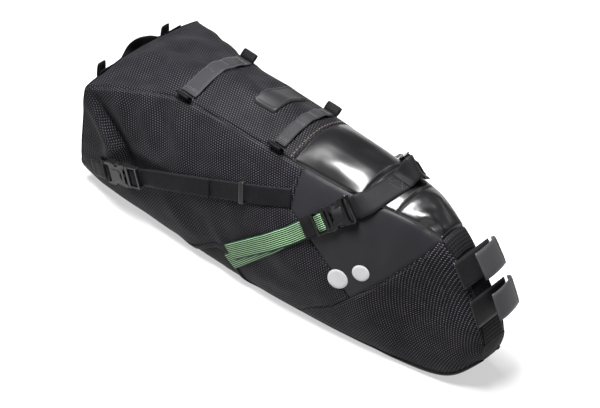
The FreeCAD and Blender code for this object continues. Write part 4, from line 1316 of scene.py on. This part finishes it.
def rail_straps(side, name, main):
    """From the socket bar up over the top seam.  The right one is box-stitched on the crown."""
    pairs = round_bar(main, SOCKET_BAR, 0.0, 3.4, 1) + [(main.at(-9, 0, -1.8), -main.w)]
    for x, turn, lift in RAIL_STRAP_OVER[name]:
        pairs.append((skin(x * MM, side * turn, lift * MM), -skin_normal(x * MM, side * turn)))
    strap("rail_strap_web_" + name, pairs, "rail_web", RAIL_WEB,
          node="rail_strap_" + name, sewn_ends=True)
    if side == LEFT:
        return
    for number, (first, last) in enumerate(BOX_LEGS):
        leg = straight(BOX_CORNERS[first], BOX_CORNERS[last], 7)
        x, turn = leg[:, 0] * MM, side * leg[:, 1]
        pairs = route(skin(x, turn, 2.6 * MM), skin_normal(x, turn))
        stitch_rows("box_stitch_%d" % number, pairs, "box_thread")


ARCH_STATION = 112 * MM
ARCH_MIDDLE = 13 * MM
ARCH_HALF = 8 * MM
ARCH_HEIGHT = 15 * MM
ARCH_BASE = 3.7 * MM
ARCH_LEAN = 0.3
ARCH_FALL = 1.9 * MM


def rail_arch():
    """Raised webbing loop between the two rail straps."""
    base = skin(ARCH_STATION, 0.0)[2] + ARCH_BASE
    pairs = [((ARCH_STATION, -2 * MM, base - 0.8 * MM), (0, 0, 1)),
             ((ARCH_STATION, 2 * MM, base - 0.4 * MM), (0, -0.4, 1))]
    for angle in np.radians(range(165, 14, -15)):
        rise = ARCH_HEIGHT * math.sin(angle)
        point = (ARCH_STATION + ARCH_LEAN * rise, ARCH_MIDDLE + ARCH_HALF * math.cos(angle),
                 base - ARCH_FALL * (1 + math.cos(angle)) + rise)
        pairs.append((point, (0.8 * math.sin(angle)**2, math.cos(angle) * 1.8, math.sin(angle))))
    for x, turn, lift in ((111.5, 0.8, 3.9), (110, 0.95, 3.2)):
        pairs.append((skin(x * MM, turn, lift * MM), skin_normal(x * MM, turn)))
    strap("rail_arch_web", pairs, "rail_web", RAIL_WEB, node="rail_arch", sewn_ends=True)


SIDE_STRAP_START = np.array((-134, 78.5)) * MM
SIDE_STRAP_END = np.array((23, 139)) * MM
SIDE_STRAP_LIFT = 3.3 * MM


def taut_route(side, places, lifts):
    """A route over the side of the bag that doesn't follow its folds."""
    turn = side * side_turn(places[:, 0], places[:, 1])
    outward = skin_normal(places[:, 0], turn)
    lifts = np.broadcast_to(lifts, len(places))
    return route(look_up(BASE, places[:, 0], turn) + outward * lifts[:, None], outward)


def side_straps(side, name, here):
    """From the ladder bar of the side buckle forward to the matt panel's rear seam, and the
    webbing's short doubled end behind the buckle."""
    turn = round_bar(here, LADDER_BAR, -0.5, 2.9, -1)
    lifts = np.full(12, SIDE_STRAP_LIFT)
    lifts[-2:] = 2.2 * MM, 1.0 * MM
    lower = taut_route(side, straight(SIDE_STRAP_START, SIDE_STRAP_END, 12), lifts)
    pairs = turn + [(here.at(LADDER_END, 0, -3.0), -here.w)] + flipped(lower)
    strap("side_strap_web_" + name, pairs, "narrow_web", node="side_strap_" + name)
    share = np.linspace(0.0, 0.43, 5)[:, None]
    places = SIDE_STRAP_START * (1 - share) + SIDE_STRAP_END * share
    upper = taut_route(side, places, SIDE_STRAP_LIFT + WEB_GAUGE + 0.1 * MM)
    start = [turn[1][0], turn[0][0], here.at(LADDER_END + 1, 0, -1.1)]
    strap("side_strap_return_" + name, [(point, here.w) for point in start] + upper, "narrow_web")


def keepers(side, name, main):
    middle = node_middle("strap_keeper_" + name)
    along = np.array(JOINTS["strap_keeper_%s_slide" % name]["axis"])
    outward = on_side(side, middle[0], middle[2])[1]
    ring_piece("strap_slider_" + name, Frame(middle, along, outward), "keeper", across=21.4,
               through=3.5, wall=1.2, length=5.6, corner=0.8, body="strap_keeper_" + name,
               node="strap_keeper_" + name)
    here = Frame(main.at(LADDER_END + 7, 0, -3.05), main.u, main.w)
    ring_piece("elastic_sleeve_" + name, here, "elastic", across=20.8, through=5.4, wall=1.0,
               length=16, corner=2.0, node="elastic_keeper_" + name)


def tail_loops(side, name, here):
    """From the rolled closure round the corner of the tail to the side buckle's socket bar."""
    edge = abs(skin(TAIL, 2.0)[1])
    pairs = round_bar(here, SOCKET_BAR, 0.0, 3.4, 1) + [(here.at(-7, 0, -1.8), -here.w)]
    for x, z, lift in ((-209, 47, 0.6), (-217, 44, -3.0), (-232, 40, -3.5)):
        point, normal = on_side(side, x * MM, z * MM, lift * MM)
        pairs.append((point, -normal))
    for back, draw, z, normal in ((0, 5, 37, (0.7, -side * 0.7, 0)), (-4.8, 10, 36, (1, 0, 0)),
                                  (-4.8, 15, 36, (1, 0, 0))):
        pairs.append(((TAIL + back * MM, side * (edge - draw * MM), z * MM), normal))
    strap("tail_loop_web_" + name, pairs, "dark_web", node="tail_loop_" + name)
    upper = [(here.at(u, 0, w), here.w) for u, w in ((-1, 3.6), (-8, 3.2), (-17, 1.2), (-24, 0.4))]
    strap("tail_loop_return_" + name, upper, "dark_web", sewn_ends=True)


# ---------------------------------------------------------------- trim

def crown_turn(x, y):
    """The turn at a distance y from the middle of the top."""
    turns = np.linspace(-1.4, 1.4, 141)
    return np.interp(y, skin(np.full(141, x), turns)[:, 1], turns)


def crown_route(x, y, lift):
    """Points and directions across the top of the bag at a station."""
    turn = crown_turn(x, y)
    x = np.full(len(y), x)
    return skin(x, turn, lift), skin_normal(x, turn)


# Each strip's node, width, end and places where it is sewn, in millimetres.
DAISY_STRIPS = (("rear_daisy_strip", 20, 43, (-37, -9, 12, 37)),
                ("front_daisy_strip", 15, 38, (-32, -8, 11, 32)))
DAISY_BOW = 1.2 * MM


def daisy_strips():
    """Webbing across the top, sewn at intervals and bowed up between."""
    for node, width, end, sewn in DAISY_STRIPS:
        x = node_middle(node)[0]
        y = np.linspace(-end, end, 25)
        points, normals = crown_route(x, y * MM, 1.6 * MM)
        gaps = np.abs(y[:, None] - np.array(sewn)[None, :]).min(1)
        bow = DAISY_BOW * np.minimum(1, gaps / 7)**2
        strap(node + "_web", route(points + normals * bow[:, None], -normals), "daisy_web",
              width * MM, 1.5 * MM, node=node, sewn_ends=True)
        for number, place in enumerate(sewn):
            for offset, label in ((-0.9, "a"), (0.9, "b")):
                bartack("%s_bartack_%d_%s" % (node, number, label), x, (place + offset) * MM,
                        width * 0.42 * MM)


def bartack(name, x, y, half_length):
    """A short row of close stitches along the bag."""
    points, normals = crown_route(x, np.full(4, y), 2.5 * MM)
    points[:, 0] += np.linspace(-half_length, half_length, 4)
    stitch_rows(name, route(points, normals), "dark_thread", length=1.7 * MM, pitch=2.3 * MM)


# A loop tab: the turn it stands at, its middle's height and its half height and thickness.
TAB_TURN = 0.93
TAB_MIDDLE = 6.6 * MM
TAB_RISE = 4.6 * MM
TAB_HALF = 1.4 * MM


def loop_tabs():
    """Four folded tabs standing up from the top seams beside the daisy strips."""
    for number, (strip, *_) in enumerate(DAISY_STRIPS):
        for side, name in SIDES:
            seam = skin(node_middle(strip)[0], side * TAB_TURN)
            up, inward = unit((0, side * 0.74, 0.67)), unit((0, -side * 0.67, 0.74))
            pairs = []
            for angle in np.radians(range(-60, 241, 20)):
                sidestep, rise = math.cos(angle) * TAB_HALF, math.sin(angle) * TAB_RISE
                pairs.append((seam + up * (TAB_MIDDLE + rise) + inward * sidestep,
                              inward * math.cos(angle) + up * math.sin(angle)))
            pairs.insert(0, (seam + up * 1.2 * MM, pairs[0][1]))
            pairs.append((seam + up * 1.2 * MM - inward * 0.6 * MM, pairs[-1][1]))
            node = "loop_tabs" if number == 0 and side == RIGHT else ""
            strap("loop_tab_%d_%s" % (number, name), pairs, "dark_web", 18 * MM, 1.2 * MM,
                  node=node)


BADGE_CORNER = 4.0 * MM
BADGE_THICK = 2.8 * MM
BORDER_PLACE, BORDER_HALF, BORDER_HEIGHT = 2.6 * MM, 1.1 * MM, 0.7 * MM


def top_badge():
    """Plain rubber badge with a raised border, bent over the crown."""
    low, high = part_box("badge")
    middle_x, middle_y = (low.x + high.x) / 2, (low.y + high.y) / 2
    half_x, half_y = (high.x - low.x) / 2, (high.y - low.y) / 2
    rows, columns = 44, 60
    u, v = np.meshgrid(np.linspace(-1, 1, rows) * (half_x - 0.2 * MM),
                       np.linspace(-1, 1, columns) * (half_y - 0.2 * MM), indexing="ij")
    inner_x, inner_y = half_x - BADGE_CORNER, half_y - BADGE_CORNER
    over_x, over_y = np.maximum(np.abs(u) - inner_x, 0), np.maximum(np.abs(v) - inner_y, 0)
    cornered = over_x * over_y > 0
    reach = np.hypot(over_x, over_y)
    pull = np.minimum(1, BADGE_CORNER / np.maximum(reach, 1e-9))
    u = np.where(cornered, np.sign(u) * (inner_x + over_x * pull), u)
    v = np.where(cornered, np.sign(v) * (inner_y + over_y * pull), v)
    from_edge = np.minimum(half_x - np.abs(u), half_y - np.abs(v))
    from_edge = np.where(cornered, BADGE_CORNER - np.minimum(reach, BADGE_CORNER), from_edge)
    border = np.exp(-((from_edge - BORDER_PLACE) / BORDER_HALF)**4) * BORDER_HEIGHT
    thick = BADGE_THICK * np.clip(from_edge / (0.9 * MM), 0, 1)**0.5 + border
    x, turn = u + middle_x, crown_turn(middle_x, v + middle_y)
    top = skin(x, turn) + skin_normal(x, turn) * thick[..., None]
    make_piece("badge_plate", top.reshape(-1, 3), grid_faces(rows, columns), "badge",
               node="badge")


def disc(name, side, x, z, radius, node=""):
    """A round patch on the side of the bag."""
    rings, spokes = 8, 40
    places, shares = [(x, z)], [0.0]
    for share in np.arange(1, rings + 1) / rings:
        places += arc((x, z), radius * share, 0, 360 * (1 - 1 / spokes), spokes)
        shares += [share] * spokes
    places, shares = np.array(places), np.array(shares)
    base, outward = on_side(side, places[:, 0], places[:, 1])
    lift = 0.9 * MM - 0.7 * MM * shares**12
    faces = [(0, 1 + k, 1 + (k + 1) % spokes) for k in range(spokes)]
    faces += [[1 + k for k in (a, d, c, b)]
              for a, b, c, d in grid_faces(rings, spokes, closed=True)]
    make_piece(name, base + outward * lift[:, None], faces, "film", node=node)


def patches():
    for side, name in SIDES:
        node = "reflective_patches" if side == RIGHT else ""
        disc("reflective_disc_rear_" + name, side, 100 * MM, 84 * MM, 11 * MM, node)
        disc("reflective_disc_front_" + name, side, 121 * MM, 102 * MM, 9 * MM)


def binding_cords():
    """Rolled binding tape over the bottom seams."""
    for side, name in SIDES:
        x = np.linspace(TAIL + 1 * MM, TOE - 1 * MM, 90)
        turn = side * np.interp(x, STATIONS, HEM_TURNS)
        pairs = route(skin(x, turn, 0.2 * MM), skin_normal(x, turn))
        node = "bottom_bindings" if side == RIGHT else ""
        strap("bottom_binding_tape_" + name, pairs, "binding", 5 * MM, 2.4 * MM, node=node)


def gold_stitching():
    """The row of ochre stitches behind the rear gloss panel."""
    turn = np.linspace(-1.0, 1.0, 30)
    x = np.full(30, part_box("rear_gloss_panel")[0].x - 3.4 * MM)
    pairs = route(skin(x, turn, 0.5 * MM), skin_normal(x, turn))
    stitch_rows("ochre_stitches", pairs, "ochre_thread", pitch=4.4 * MM, radius=0.3 * MM)


# ---------------------------------------------------------------- the two ends

ROLL_TURNS = 2.3
ROLL_BOW = 15.5 * MM
ROLL_TIGHTENING = 0.18
ROLL_TAPER = 0.10
ROLL_PUCKER = 0.35 * MM
CLOTH_GAUGE = 0.9 * MM


def rolled_closure():
    """The mouth of the bag rolled up: a spiral of cloth with a stiff core, slightly bowed."""
    low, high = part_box("rolled_closure")
    half_length = (high.y - low.y) / 2 - 1 * MM
    middle_z, half_height = (low.z + high.z) / 2, (high.z - low.z) / 2 - 1.0 * MM
    thick = (high.x - low.x - ROLL_BOW) / 2
    rows, columns = 120, 61
    angle = np.linspace(0, ROLL_TURNS * 2 * math.pi, rows)[:, None]
    tight = 1 - ROLL_TIGHTENING * angle / (2 * math.pi)
    y = np.linspace(-1, 1, columns)[None, :] * half_length
    share = y / half_length
    centre_x = high.x - thick - ROLL_BOW * (1 - share**2)
    swell = 1 - ROLL_TAPER * np.abs(share)**6
    pucker = ROLL_PUCKER * np.sin(y / (7 * MM)) * np.sin(y / (17 * MM) + 1)
    x = centre_x - (thick * tight * swell + pucker) * np.cos(angle)
    z = middle_z + (half_height * tight * swell + pucker) * np.sin(angle)
    points = np.stack(np.broadcast_arrays(x, y, z), -1)
    run, y = np.broadcast_arrays(angle * half_height * 0.8, y)
    gap = np.minimum(np.minimum(run, run[-1] - run) + 1, half_length - np.abs(y))
    piece = make_piece("rolled_mouth_cloth", points.reshape(-1, 3), grid_faces(rows, columns),
                       "dotted", uv=np.stack([run, y], -1), gap=gap, run=y,
                       node="rolled_closure")
    solid = piece.modifiers.new("cloth_gauge", "SOLIDIFY")
    solid.thickness = CLOTH_GAUGE
    solid.offset = 1.0
    unrolled = run_along(points[:, columns // 2])[-1]


# Places along the light webbing: across the bag, out from the tail and up.
LIGHT_WEBBING = ((-62, 0, 131), (-32, 0, 132), (-21, 4, 134), (-9, 8, 137), (3, 8, 138),
                 (14, 4, 137), (25, 0, 133), (62, 0, 131))


def rear_light_webbing():
    """Webbing standing off the tail panel in the middle, and a loop near each end."""
    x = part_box("light_webbing")[1].x - WEB_GAUGE / 2
    pairs = [((x - out * MM, y * MM, z * MM), (-1, 0, 0)) for y, out, z in LIGHT_WEBBING]
    strap("light_webbing_band", pairs, "dark_web", node="light_webbing")
    low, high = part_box("light_loops")
    middle_z, half_z = (low.z + high.z) / 2, (high.z - low.z) / 2 - 1.0 * MM
    for name, y in (("right", low.y + 5 * MM), ("left", high.y - 5 * MM)):
        pairs = []
        for angle in np.radians(range(-70, 251, 20)):
            out, rise = -math.cos(angle), math.sin(angle)
            point = (high.x - 2.6 * MM + 1.6 * MM * out, y, middle_z + half_z * rise)
            pairs.append((point, (out, 0, rise)))
        strap("light_loop_" + name, pairs, "dark_web", 10 * MM, 1.3 * MM,
              node="light_loops" if name == "right" else "")


def flap_frame(name):
    """The frame at the fold of a seatpost strap: v along the strap, w away from the nose."""
    joint = JOINTS["post_strap_flap_%s_open" % name]
    outward = np.cross(-np.array(joint["axis"]), (0, 1, 0))
    if outward[0] < 0:
        outward = -outward
    return Frame(joint["pos_m"], np.cross((0, 1, 0), outward), outward)


POST_WEB = 30 * MM
POST_FOLD = 30.8

# Places y across the nose, where the fold is at POST_FOLD, and w away from the fold.
POST_BASE = (-26, -10, 6, 20, 27, 30)
POST_FLAP = ((24, 6.0), (12, 9.0), (2, 10.2), (-8, 10.0))


def post_straps():
    """Two wide hook-and-loop straps: a base sewn to the nose and a flap folded back over it."""
    for name in ("upper", "lower"):
        here = flap_frame(name)
        pairs = [(here.at(0, y - POST_FOLD, -4.9), here.w) for y in POST_BASE]
        strap("post_strap_base_" + name, pairs, "base", POST_WEB, 1.5 * MM,
              node="post_strap_bases" if name == "upper" else "")
        pairs = []
        for angle in np.radians(range(-60, 91, 15)):
            v, w = math.cos(angle), math.sin(angle)
            pairs.append((here.at(0, v * 3.2, w * 3.4), here.v * v + here.w * w))
        for y, w in POST_FLAP:
            pairs.append((here.at(0, y - POST_FOLD, w), here.w))
        strap("post_strap_band_" + name, pairs, "flap", POST_WEB, 1.8 * MM,
              body="post_strap_flap_" + name, node="post_strap_flap_" + name)


# ---------------------------------------------------------------- assembly

def hidden_sheets():
    """The stiffeners keep their shapes and get a paint."""
    paint = stiffener_sheet()
    for node in ("base_stiffener", "nose_stiffener", "roll_stiffener"):
        materials = frame["nodes"][node].data.materials
        materials.clear()
        materials.append(paint)


make_studio()
make_floor()
make_backdrop()
make_camera()
top_group()
side_group()
bottom()
end_piece("tail_cloth", TAIL, -2.5 * MM, "dotted", "tail_panel")
end_piece("toe_cap", TOE, 1.0 * MM, "coarse")
for side, name in SIDES:
    main_buckle = buckle("main_" + name, MAIN_OPENING)
    side_buckle = buckle("side_" + name, SIDE_OPENING)
    green_straps(side, name, main_buckle)
    rail_straps(side, name, main_buckle)
    side_straps(side, name, side_buckle)
    keepers(side, name, main_buckle)
    tail_loops(side, name, side_buckle)
rail_arch()
daisy_strips()
loop_tabs()
top_badge()
patches()
binding_cords()
gold_stitching()
rolled_closure()
rear_light_webbing()
post_straps()
hidden_sheets()
